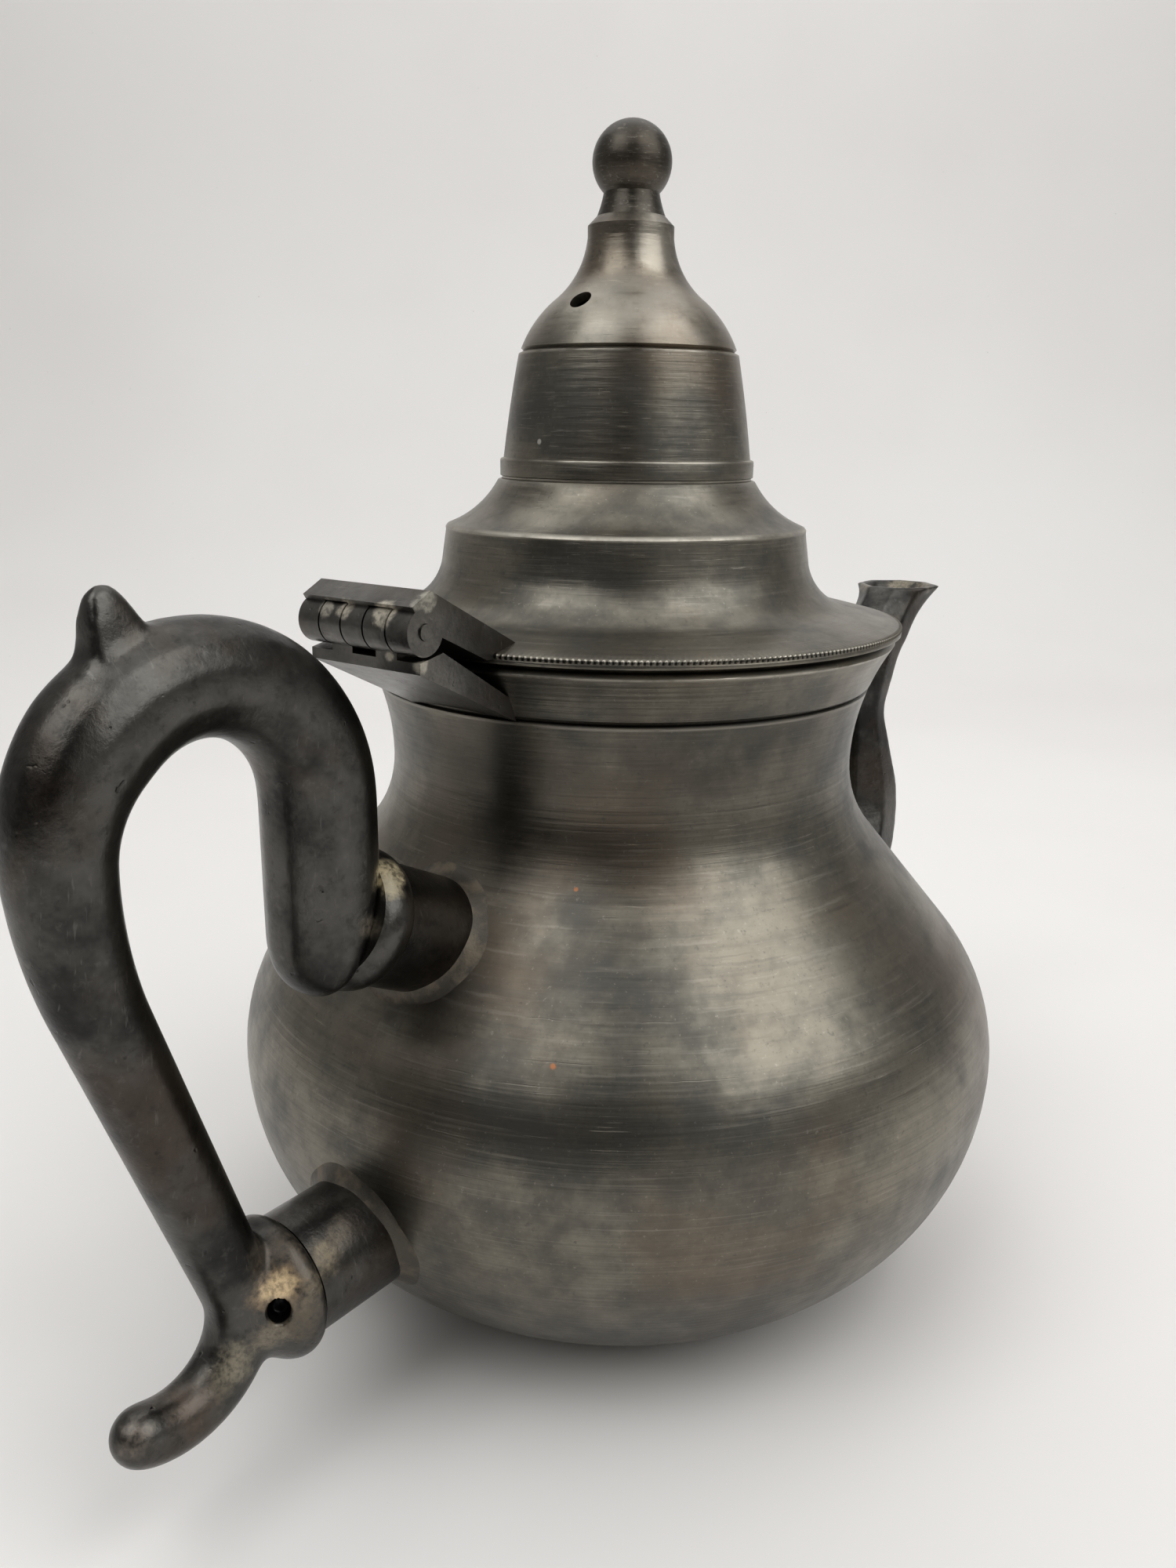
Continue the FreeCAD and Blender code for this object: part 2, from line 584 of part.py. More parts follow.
class Joint:
    """One of the handle's two joints to the pot: socket, solder, collar, boss and tenon on one axis."""

    def __init__(self, name, tilt, height, limb_x, boss_reach):
        """Place the axis where it crosses the pot's wall; distances run out along the axis.

        The boss starts its reach short of the limb's own axis, and the socket fills what is left.
        """
        self.name = name
        self.tilt = val(tilt)
        self.axis = FreeCAD.Rotation(FreeCAD.Vector(0, 1, 0), 90 - self.tilt)
        self.z = val(height)
        self.x = self.wall_x()
        limb_at = (limb_x - self.x) / math.cos(math.radians(self.tilt))
        self.boss_at = limb_at - val(boss_reach)
        self.collar_width = f"{{{name}_collar_width}}"
        self.collar_at = self.boss_at - val(self.collar_width)

    def wall_x(self):
        """Distance of the pot's outside from its axis at the joint's height."""
        if self.z < val("belly_height"):
            return val("{belly_radius} - {bowl_arc}") + math.sqrt(
                val("bowl_arc") ** 2 - (val("belly_height") - self.z) ** 2)
        return val("slope_low_x") - (self.z - val("slope_low_z")) * math.tan(
            math.radians(val("shoulder_slope")))

    def bar(self, part, radius, start, length):
        """Round bar on the axis."""
        bar = doc.addObject("Part::Cylinder", f"{self.name}_{part}")
        bind(bar, Radius=radius)
        bar.Height = length
        bar.Placement = self.at(start)
        return bar

    def at(self, distance):
        """Placement on the axis, looking out of the pot."""
        return FreeCAD.Placement(FreeCAD.Vector(self.x, 0, self.z), self.axis).multiply(
            FreeCAD.Placement(FreeCAD.Vector(0, 0, distance), FreeCAD.Rotation()))

    def make_socket(self):
        """Tube soldered to the wall, and the solder round its root."""
        depth = val("{socket_radius} * 2")
        tube = self.bar("tube", "{socket_radius}", -depth, depth + self.collar_at)
        bore = self.bar("tube_bore", "{tenon_radius} + {tenon_clearance}", -depth, 2 * depth + self.collar_at)
        hollow = less(f"{self.name}_hollow", tube, bore)
        node(f"{self.name}_socket", less(f"{self.name}_socket_cut", hollow, pot_form), HALF_TURN)
        around = self.bar("solder_disc", "{socket_radius} + {solder_width}", -depth, 2 * depth)
        core = self.bar("solder_core", "{socket_radius}", -2 * depth, 4 * depth)
        ring = less(f"{self.name}_solder_ring", around, core)
        skin = doc.addObject("Part::Common", f"{self.name}_solder_skin")
        skin.Base = ring
        skin.Tool = solder_form
        node(f"{self.name}_solder", less(f"{self.name}_solder_cut", skin, pot_form), HALF_TURN)

    def make_collar(self):
        """Half-round ring between the socket and the handle."""
        body = turned(f"{self.name}_collar_body", [
            ("{tenon_radius} + {tenon_clearance}", "0"),
            (f"{{collar_radius}} - {self.collar_width} / 4", "0"),
            (f"{{collar_radius}} - {self.collar_width} / 4", self.collar_width, "90"),
            ("{tenon_radius} + {tenon_clearance}", self.collar_width),
        ])
        body.Placement = HALF_TURN.multiply(self.at(self.collar_at))
        node(f"{self.name}_collar", body)

    def handle_pieces(self):
        """Boss and tenon that belong to the handle."""
        inside = val("tenon_length")
        boss = self.bar("boss", "{boss_radius}", self.boss_at, val("boss_radius"))
        tenon = self.bar("tenon", "{tenon_radius}", self.collar_at - inside,
                         inside + val(self.collar_width) + val("boss_radius"))
        return boss, tenon

    def seat(self):
        """Room that the collar and socket need clear of the handle's limb."""
        reach = val("{collar_radius} * 2")
        return self.bar("seat", "{collar_radius} + {seat_room}", self.boss_at - reach, reach)


tail_start = handle_spots[-1 - handle_runs[-1].steps]
upper_joint = Joint("upper", "upper_socket_tilt", "{belly_height} + {upper_socket_rise}", val("limb_x"),
                    "upper_boss_reach")
lower_joint = Joint("lower", "lower_socket_tilt", "{belly_height} - {lower_socket_drop}", tail_start[0],
                    "lower_boss_reach")
bosses, tenons, seats = [], [], []
for joint in (upper_joint, lower_joint):
    joint.make_socket()
    joint.make_collar()
    boss, tenon = joint.handle_pieces()
    bosses.append(boss)
    tenons.append(tenon)
    seats.append(joint.seat())
handle_limb = less("handle_limb", joined("handle_mass", [handle_loft, thumb, thumb_end] + bosses),
                   joined("handle_seats", seats))
drain = doc.addObject("Part::Cylinder", "drain")
bind(drain, Radius="{drain_radius}", Height="{boss_radius} * 2")
drain.Placement = lower_joint.at(lower_joint.boss_at + val("drain_radius") * 2).multiply(
    FreeCAD.Placement(FreeCAD.Vector(0, 0, 0), FreeCAD.Rotation(FreeCAD.Vector(1, 0, 0), 90)))
node("handle", less("handle_drained", joined("handle_whole", [handle_limb] + tenons), drain), HALF_TURN)

# Lid skirt: flat flange, hollow sweep, bright step, second sweep and a plain band
FLANGE_TOP = "{lid_z} + {flange_thickness}"
SKIRT_FOOT_Z = "{lid_z} + {skirt_foot_rise}"
WAIST_Z = "{lid_z} + {skirt_waist_rise}"
STEP_Z = "{lid_z} + {step_rise}"
BAND_Z = "{lid_z} + {band_rise}"
skirt_outside = [
    ("{flange_radius}", "{lid_z}"),
    ("{flange_radius}", FLANGE_TOP),
    ("{skirt_foot_radius}", SKIRT_FOOT_Z),
    ("{skirt_waist_radius}", WAIST_Z, "-{skirt_turn}"),
    ("{step_radius}", STEP_Z),
    ("{step_radius}", f"{STEP_Z} + {{step_lip}} / 2"),
    ("{step_radius} - {step_lip}", f"{STEP_Z} + {{step_lip}}"),
    ("{band_radius}", BAND_Z, "-{cone_turn}"),
]
skirt_inside = [
    ("{band_radius} - {lid_wall}", f"{BAND_Z} - {{lid_wall}} / 2"),
    ("{step_radius} - {step_lip} - {lid_wall}", f"{STEP_Z} + {{step_lip}} - {{lid_wall}}", "{cone_turn}"),
    ("{skirt_waist_radius} - {lid_wall}", WAIST_Z),
    ("{lid_opening}", f"{SKIRT_FOOT_Z} - {{lid_wall}}", "{skirt_turn}"),
    ("{lid_opening}", "{lid_z}"),
]
lid_form = turned("lid_form", skirt_outside + [("0", BAND_Z), ("0", "{lid_z}")])
node("lid_skirt", turned("lid_skirt_body", skirt_outside + [
    ("{band_radius}", "{bell_z}"), ("{band_radius} - {lid_wall}", "{bell_z}")] + skirt_inside))

# Ring under the flange that drops into the mouth
node("lid_bezel", turned("lid_bezel_body", [
    ("{lid_opening}", "{lid_z}"), ("{lid_opening}", "{lid_z} - {bezel_depth}"),
    ("{bezel_radius}", "{lid_z} - {bezel_depth}"), ("{bezel_radius}", "{lid_z}")]))

# Bell of the lid, with a turned groove, a vent on the hinge side and a capped throat
GROOVE_Z = "{bell_z} + {bell_shoulder_rise}"
DOME_Z = "{bell_z} + {dome_rise}"
THROAT_Z = "{bell_z} + {throat_rise}"
bell_outside = [
    ("{bell_radius}", "{bell_z}"),
    ("{bell_shoulder_radius}", GROOVE_Z, "{bell_side_turn}"),
    ("{bell_shoulder_radius} - {bell_groove}", f"{GROOVE_Z} + {{bell_groove}} / 2"),
    ("{bell_shoulder_radius} - {bell_groove} / 2", f"{GROOVE_Z} + {{bell_groove}}"),
    ("{dome_radius}", DOME_Z, "{dome_turn}"),
    ("{throat_radius}", THROAT_Z, "-{throat_turn}"),
    ("{throat_radius}", "{finial_z} - {lid_wall}"),
    ("{finial_foot_radius}", "{finial_z}"),
    ("{stud_radius}", "{finial_z}"),
]
bell_inside = [
    ("{stud_radius}", "{bell_ceiling_z}"),
    ("{throat_radius} - {lid_wall}", "{bell_ceiling_z}"),
    ("{throat_radius} - {lid_wall}", THROAT_Z),
    ("{dome_radius} - {lid_wall} * cos({dome_slope})", f"{DOME_Z} - {{lid_wall}} * sin({{dome_slope}})",
     "{throat_turn}"),
    ("{bell_shoulder_radius} - {bell_groove} - {lid_wall}", GROOVE_Z, "-{dome_turn}"),
    ("{bell_radius} - {lid_wall}", "{bell_z}", "-{bell_side_turn}"),
]
bell = turned("bell", bell_outside + bell_inside)
VENT_SLANT = FreeCAD.Rotation(FreeCAD.Vector(0, 1, 0), -val("vent_slant"))
vent = rod("vent", "{vent_radius}", "{bell_radius}", x="-{throat_radius}", z=f"{DOME_Z} - {{vent_drop}}",
           axis=VENT_SLANT)
node("lid_bell", less("bell_vented", bell, vent))

# Finial: ball on a coved foot, with the stud that holds it through the bell's cap
FINIAL_NECK_Z = "{finial_z} + {finial_foot_height}"
STUD_END = "{bell_ceiling_z} - {washer_thickness} - {nut_height} - {stud_radius} / 2"
node("finial", turned("finial_body", [
    ("0", STUD_END),
    ("{stud_radius}", STUD_END),
    ("{stud_radius}", "{finial_z}"),
    ("{finial_foot_radius}", "{finial_z}"),
    ("{finial_foot_radius} - {finial_foot_taper}", "{finial_z} + {finial_foot_rim}"),
    ("{finial_neck_radius}", FINIAL_NECK_Z, "-{finial_cove_turn}"),
    ("0", "{ball_z} + {ball_radius}", "90 deg + acos({finial_neck_radius} / {ball_radius})"),
]))
node("finial_washer", turned("finial_washer_body", [
    ("{stud_radius}", "{bell_ceiling_z} - {washer_thickness}"),
    ("{washer_radius}", "{bell_ceiling_z} - {washer_thickness}"),
    ("{washer_radius}", "{bell_ceiling_z}"),
    ("{stud_radius}", "{bell_ceiling_z}")]))
hexagon = doc.addObject("Part::Prism", "nut_blank")
hexagon.Polygon = HEXAGON
bind(hexagon, Circumradius="{nut_radius}", Height="{nut_height}")
hexagon.setExpression(".Placement.Base.z", expr("{bell_ceiling_z} - {washer_thickness} - {nut_height}"))
nut_bore = rod("nut_bore", "{stud_radius}", "{bell_height}", z="{bell_z} + {bell_height} / 2")
node("finial_nut", less("nut_cut", hexagon, nut_bore))


LID_PLACES = range(-2, 3, 2)
BODY_PLACES = range(-1, 2, 2)


def knuckle(name, place, radius="{knuckle_radius}", width="{knuckle_width}"):
    """One knuckle of the barrel; place counts from the middle one."""
    return rod(name, radius, width, x="{hinge_x}", z="{hinge_z}",
               y=f"{{knuckle_pitch}} * ({place}) - ({width}) / 2", axis=ALONG_Y)


# Body leaf: slanted strap soldered under the rim, carrying the second and fourth knuckles
STRAP_TOP_Z = "{hinge_z} - {strap_drop}"
STRAP_EDGE_X = "{hinge_x} + {knuckle_radius} / 3"
STRAP_PEAK_X = "{hinge_x} - {knuckle_radius}"
STRAP_ROOT_X = "{neck_radius}"
STRAP_RUN = f"({STRAP_PEAK_X} - {STRAP_ROOT_X})"
strap = prism("strap", [
    (STRAP_EDGE_X, f"{STRAP_TOP_Z} - {{strap_edge}}"),
    (STRAP_EDGE_X, STRAP_TOP_Z),
    (STRAP_PEAK_X, f"{STRAP_TOP_Z} + {{strap_rise}}"),
    (STRAP_ROOT_X, f"{STRAP_TOP_Z} - {STRAP_RUN} * tan({{strap_slope}})"),
    (STRAP_ROOT_X, f"{STRAP_TOP_Z} - {STRAP_RUN} * tan({{strap_slope}}) - {{strap_thickness}}"),
], "{hinge_length}")
body_barrel = []
for place in BODY_PLACES:
    body_barrel.append(knuckle(f"body_knuckle_{place}", place))
    web = doc.addObject("Part::Box", f"body_web_{place}")
    bind(web, Length=f"{STRAP_EDGE_X} - ({STRAP_PEAK_X})", Width="{knuckle_width}", Height="{strap_drop}")
    web.setExpression(".Placement.Base.x", expr("{hinge_x} - {knuckle_radius}"))
    web.setExpression(".Placement.Base.y", expr(f"{{knuckle_pitch}} * {place} - {{knuckle_width}} / 2"))
    web.setExpression(".Placement.Base.z", expr("{hinge_z} - {strap_drop}"))
    body_barrel.append(web)
pin_hole = rod("pin_hole", "{pin_radius}", "{hinge_length} * 2", x="{hinge_x}", z="{hinge_z}",
               y="-{hinge_length}", axis=ALONG_Y)
lid_room = [knuckle(f"lid_room_{place}", place, "{knuckle_radius} + {knuckle_gap}",
                    "{knuckle_pitch} + {knuckle_gap}") for place in LID_PLACES]
node("body_hinge_leaf", less("body_leaf_cut", joined("body_leaf_mass", [strap] + body_barrel),
                             joined("body_leaf_room", [pin_hole, pot_form] + lid_room)), HALF_TURN)

# Lid leaf: wedge that runs up from the flange to a roof over the barrel, with three knuckles
WEDGE_TIP_X = "{hinge_x} - {wedge_length}"
WEDGE_TIP_Z = "{lid_z} + {flange_thickness} + {wedge_tip}"
wedge = prism("wedge", [
    ("{hinge_x} + {roof_reach}", "{hinge_z} + {roof_eave}"),
    ("{hinge_x} - {roof_reach} / 2", "{hinge_z} + {roof_height}"),
    (WEDGE_TIP_X, WEDGE_TIP_Z),
    (WEDGE_TIP_X, "{lid_z} + {flange_thickness} / 2"),
    ("{flange_radius}", "{lid_z} + {flange_thickness} / 2"),
    ("{hinge_x} - {knuckle_radius}", "{hinge_z} - {knuckle_radius} / 3"),
    ("{hinge_x}", "{hinge_z}"),
], "{hinge_length}")
lid_barrel = [knuckle(f"lid_knuckle_{place}", place) for place in LID_PLACES]
lid_pin_hole = rod("lid_pin_hole", "{pin_radius} + {pin_clearance}", "{hinge_length} * 2", x="{hinge_x}",
                   z="{hinge_z}", y="-{hinge_length}", axis=ALONG_Y)
body_room = [knuckle(f"body_room_{place}", place, "{knuckle_radius} + {knuckle_gap}",
                     "{knuckle_pitch} + {knuckle_gap}") for place in BODY_PLACES]
node("lid_hinge_leaf", less("lid_leaf_cut", joined("lid_leaf_mass", [wedge] + lid_barrel),
                            joined("lid_leaf_room", [lid_pin_hole, lid_form] + body_room)), HALF_TURN)

# Pin: held in the body's knuckles, free in the lid's
node("hinge_pin", rod("pin", "{pin_radius}", "{hinge_length} + {pin_head} * 2", x="-{hinge_x}", z="{hinge_z}",
                      y="-{hinge_length} / 2 - {pin_head}", axis=ALONG_Y))

doc.recompute()
for thing in doc.Objects:
    if "Invalid" in thing.State or "Error" in thing.State:
        raise RuntimeError(f"{thing.Label} did not build: {thing.State}")
for label, thing in NODES.items():
    if thing.Shape.isNull() or not thing.Shape.isValid():
        raise RuntimeError(f"{label} has no sound solid")
os.makedirs("parts", exist_ok=True)
for label, thing in NODES.items():
    box = thing.Shape.BoundBox
    print(f"{label}: {len(thing.Shape.Solids)} solid, {thing.Shape.Volume:.0f} mm3, "
          f"x {box.XMin:.1f} to {box.XMax:.1f}, z {box.ZMin:.1f} to {box.ZMax:.1f}")
    thing.Shape.exportStep(f"parts/{label}.step")
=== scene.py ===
"""Looks of a hinged-lid pewter pot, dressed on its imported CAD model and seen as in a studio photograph."""

import logging
import math
from dataclasses import dataclass
from enum import Enum
from typing import Any, Sequence, Union

import bmesh
import bpy
from bmesh.types import BMesh
from bpy.types import Material, Node, NodeSocket, Object
from mathutils import Matrix, Vector


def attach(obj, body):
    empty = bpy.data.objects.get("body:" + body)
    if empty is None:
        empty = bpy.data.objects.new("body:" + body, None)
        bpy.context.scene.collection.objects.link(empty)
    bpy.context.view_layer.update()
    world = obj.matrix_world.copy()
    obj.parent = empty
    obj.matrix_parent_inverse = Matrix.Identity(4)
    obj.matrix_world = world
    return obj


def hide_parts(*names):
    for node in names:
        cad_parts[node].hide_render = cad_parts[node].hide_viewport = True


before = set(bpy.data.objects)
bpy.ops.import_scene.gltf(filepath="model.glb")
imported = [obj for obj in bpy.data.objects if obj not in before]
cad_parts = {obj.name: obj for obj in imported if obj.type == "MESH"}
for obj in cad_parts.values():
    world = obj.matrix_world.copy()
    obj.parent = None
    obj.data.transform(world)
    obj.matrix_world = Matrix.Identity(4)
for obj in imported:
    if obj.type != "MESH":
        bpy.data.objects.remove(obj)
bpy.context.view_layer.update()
LOG = logging.getLogger("pot")
MM = 0.001
# How far noise pushes the edge of a blot in and out, as a share of its radius.
RAGGED_SWAY = 1.7
PLAIN_SWAY = 0.3
# Degrees up a dome at which its sections stand.
DOME_BEARINGS = (20, 40, 58, 73, 84)
# How far the wall is looked for on each side of a point, in metres.
WALL_SEARCH = 0.03
Colour = tuple[float, float, float]
Spot = tuple[float, float]
Point = tuple[float, float, float]
Station = tuple[float, float, float, float]
Number = Union["Value", float]


class Body(Enum):
    """Bodies of the CAD model that a piece can ride on."""

    POT = "pot"
    LID = "lid"


class Slot(Enum):
    """Material slots of the record."""

    TURNED = "turned_pewter"
    CAST = "cast_pewter"
    SOLDER = "solder"


@dataclass(frozen=True)
class Value:
    """A shader number that answers to arithmetic.

    Args:
        graph: Graph that new nodes go to.
        socket: Output socket that carries the number.
    """

    graph: "Graph"
    socket: NodeSocket

    def __add__(self, other: Number) -> "Value":
        """Sum."""
        return self.graph.math("ADD", self, other)

    __radd__ = __add__

    def __sub__(self, other: Number) -> "Value":
        """Difference."""
        return self.graph.math("SUBTRACT", self, other)

    def __rsub__(self, other: Number) -> "Value":
        """Difference from a number."""
        return self.graph.math("SUBTRACT", other, self)

    def __mul__(self, other: Number) -> "Value":
        """Product."""
        return self.graph.math("MULTIPLY", self, other)

    def __truediv__(self, other: Number) -> "Value":
        """Quotient."""
        return self.graph.math("DIVIDE", self, other)

    def __abs__(self) -> "Value":
        """Size without sign."""
        return self.graph.math("ABSOLUTE", self)

    def step(self, low: float, high: float) -> "Value":
        """Smooth rise from 0 at low to 1 at high.

        Args:
            low: Value that gives 0.
            high: Value that gives 1, which may be below low.

        Returns:
            The risen value.
        """
        node = self.graph.add("ShaderNodeMapRange", {"interpolation_type": "SMOOTHSTEP"},
                              {"Value": self, "From Min": low, "From Max": high})
        return Value(self.graph, node.outputs["Result"])

    def near(self, middle: float, width: float) -> "Value":
        """Soft band that is 1 at a value and 0 a width away from it.

        Args:
            middle: Value at the band's middle.
            width: Distance at which the band has faded.

        Returns:
            The band's strength.
        """
        return abs(self - middle).step(width, 0.0)


class Graph:
    """Node tree of one material, with the object's own coordinates at hand."""

    def __init__(self, name: str) -> None:
        """Start an empty material.

        Args:
            name: Name of the material.
        """
        self.material = bpy.data.materials.new(name)
        self.material.use_nodes = True
        self.tree = self.material.node_tree
        self.shader = self.tree.nodes["Principled BSDF"]
        spot = self.add("ShaderNodeTexCoord", {}, {}).outputs["Object"]
        parts = self.add("ShaderNodeSeparateXYZ", {}, {"Vector": spot})
        self.spot = spot
        self.x, self.y, self.z = (Value(self, parts.outputs[axis]) for axis in "XYZ")

    def add(self, kind: str, settings: dict[str, Any], inputs: dict[Union[str, int], Any]) -> Node:
        """Add one node.

        Args:
            kind: Node type.
            settings: Properties of the node.
            inputs: Values, sockets or numbers for its inputs, by name or place.

        Returns:
            The new node.
        """
        node = self.tree.nodes.new(kind)
        for name, setting in settings.items():
            setattr(node, name, setting)
        for name, given in inputs.items():
            self.feed(node, name, given)
        return node

    def feed(self, node: Node, name: Union[str, int], given: Any) -> None:
        """Link or set one input of a node.

        Args:
            node: The node.
            name: Name or place of the input.
            given: Value, socket or number.
        """
        source = given.socket if isinstance(given, Value) else given
        if isinstance(source, NodeSocket):
            self.tree.links.new(source, node.inputs[name])
        else:
            node.inputs[name].default_value = source

    def math(self, operation: str, *given: Number) -> Value:
        """Add one maths node.

        Args:
            operation: Its operation.
            given: Its inputs in order.

        Returns:
            Its result.
        """
        node = self.add("ShaderNodeMath", {"operation": operation}, dict(enumerate(given)))
        return Value(self, node.outputs[0])

    def place(self, x: Number, y: Number, z: Number) -> NodeSocket:
        """Vector of three numbers.

        Args:
            x: First number.
            y: Second number.
            z: Third number.

        Returns:
            Socket with the vector.
        """
        return self.add("ShaderNodeCombineXYZ", {}, {"X": x, "Y": y, "Z": z}).outputs[0]

    def noise(self, scale: float, detail: float = 2.0, roughness: float = 0.5,
              at: Union[NodeSocket, None] = None) -> Value:
        """Soft noise from about 0 to 1.

        Args:
            scale: Blots per metre.
            detail: Octaves of finer noise.
            roughness: Strength of the finer noise.
            at: Where to read it, or the object's own coordinates.

        Returns:
            The noise.
        """
        inputs = {"Vector": at or self.spot, "Scale": scale, "Detail": detail, "Roughness": roughness}
        node = self.add("ShaderNodeTexNoise", {}, inputs)
        return Value(self, node.outputs[0])

    def away(self, spot: Point) -> Value:
        """Distance from a point.

        Args:
            spot: The point in millimetres.

        Returns:
            The distance in millimetres.
        """
        node = self.add("ShaderNodeVectorMath", {"operation": "DISTANCE"},
                        {0: self.spot, 1: tuple(Vector(spot) * MM)})
        return Value(self, node.outputs["Value"]) / MM

    def mix(self, share: Number, first: Any, second: Any) -> NodeSocket:
        """Blend of two colours.

        Args:
            share: 0 for the first colour and 1 for the second.
            first: Colour or socket.
            second: Colour or socket.

        Returns:
            Socket with the blend.
        """
        def full(colour: Any) -> Any:
            """Colour with an alpha, or a socket as it is."""
            return colour if isinstance(colour, NodeSocket) else (*colour, 1.0)
        # Inputs 6 and 7 and output 2 are the node's colours.
        node = self.add("ShaderNodeMix", {"data_type": "RGBA", "clamp_factor": True},
                        {0: share, 6: full(first), 7: full(second)})
        return node.outputs[2]

    def bump(self, height: Value, depth: float) -> None:
        """Raise the surface by a height that varies.

        Args:
            height: Height from 0 to 1.
            depth: Depth in metres of a height of 1.
        """
        node = self.add("ShaderNodeBump", {}, {"Height": height, "Distance": depth, "Strength": 1.0})
        self.tree.links.new(node.outputs[0], self.shader.inputs["Normal"])

    def finish(self, colour: NodeSocket, roughness: Number, metallic: Number = 1.0) -> Material:
        """Feed the shader.

        Args:
            colour: Base colour socket.
            roughness: Roughness.
            metallic: Metallic share.

        Returns:
            The finished material.
        """
        for name, given in (("Base Color", colour), ("Roughness", roughness), ("Metallic", metallic)):
            self.feed(self.shader, name, given)
        return self.material


@dataclass(frozen=True)
class Patch:
    """A ragged blot at one place of a surface.

    Args:
        spot: Middle of the blot in millimetres.
        radius: Its radius in millimetres.
        colour: Its colour.
        strength: Share of its colour in the middle.
        edge: Share of the radius over which it fades.
        whole: Whether it is a plain round that the grain leaves unbroken.
    """

    spot: Point
    radius: float
    colour: Colour
    strength: float = 1.0
    edge: float = 0.5
    whole: bool = False

    def share(self, graph: Graph, ragged: Value) -> Value:
        """Strength of the blot on the surface.

        Args:
            graph: Graph of the surface's material.
            ragged: Noise that makes its outline uneven.

        Returns:
            The strength from 0 to 1.
        """
        sway = PLAIN_SWAY if self.whole else RAGGED_SWAY
        reach = graph.away(self.spot) + (ragged - 0.5) * (self.radius * sway)
        return reach.step(self.radius, self.radius * (1.0 - self.edge)) * self.strength


@dataclass(frozen=True)
class Lip:
    """A band round a turned piece: a worn edge, a painted highlight, a dark groove or gap with painted
    shade, or a band of painted shade.

    Args:
        height: Height above the foot in millimetres.
        width: Height over which it fades, in millimetres.
        strength: Share of its colour in the middle.
    """

    height: float
    width: float
    strength: float


@dataclass(frozen=True)
class Milling:
    """Cuts round the upper half of a turned edge. Lengths are in millimetres.

    Args:
        teeth: Number of teeth round the edge.
        reach: Radius inside which nothing is cut.
        low: Height of the cuts' foot.
        high: Height of the edge's top.
        fade: Distance over which a cut's paint fades.
        gap: Share of a tooth's pitch on each side of a gap's middle.
        wear: Height of the worn tops.
        gap_rise: Distance past the reach at which the gaps are full.
        top_rise: Distance past the reach at which the wear is full.
        top_drop: Depth of the wear's middle below the edge's top.
    """

    teeth: int
    reach: float
    low: float
    high: float
    fade: float = 0.05
    gap: float = 0.36
    wear: float = 0.36
    gap_rise: float = 0.2
    top_rise: float = 0.3
    top_drop: float = 0.1

    def gaps(self, graph: Graph, around: Value, radius: Value) -> Value:
        """Strength of the dark gaps.

        Args:
            graph: Graph of the material.
            around: Bearing round the axis in radians.
            radius: Distance from the axis in metres.

        Returns:
            The strength from 0 to 1.
        """
        turn = graph.math("FRACT", around * (self.teeth / math.tau))
        height = graph.z.step((self.low - self.fade) * MM, (self.low + self.fade) * MM)
        height = height * graph.z.step((self.high + self.fade) * MM, (self.high - self.fade) * MM)
        outside = radius.step(self.reach * MM, (self.reach + self.gap_rise) * MM)
        return turn.near(0.5, self.gap).step(0.0, 0.7) * height * outside

    def tops(self, graph: Graph, radius: Value) -> Value:
        """Strength of the wear on the teeth's tops.

        Args:
            graph: Graph of the material.
            radius: Distance from the axis in metres.

        Returns:
            The strength from 0 to 1.
        """
        outside = radius.step(self.reach * MM, (self.reach + self.top_rise) * MM)
        return graph.z.near((self.high - self.top_drop) * MM, self.wear * MM) * outside


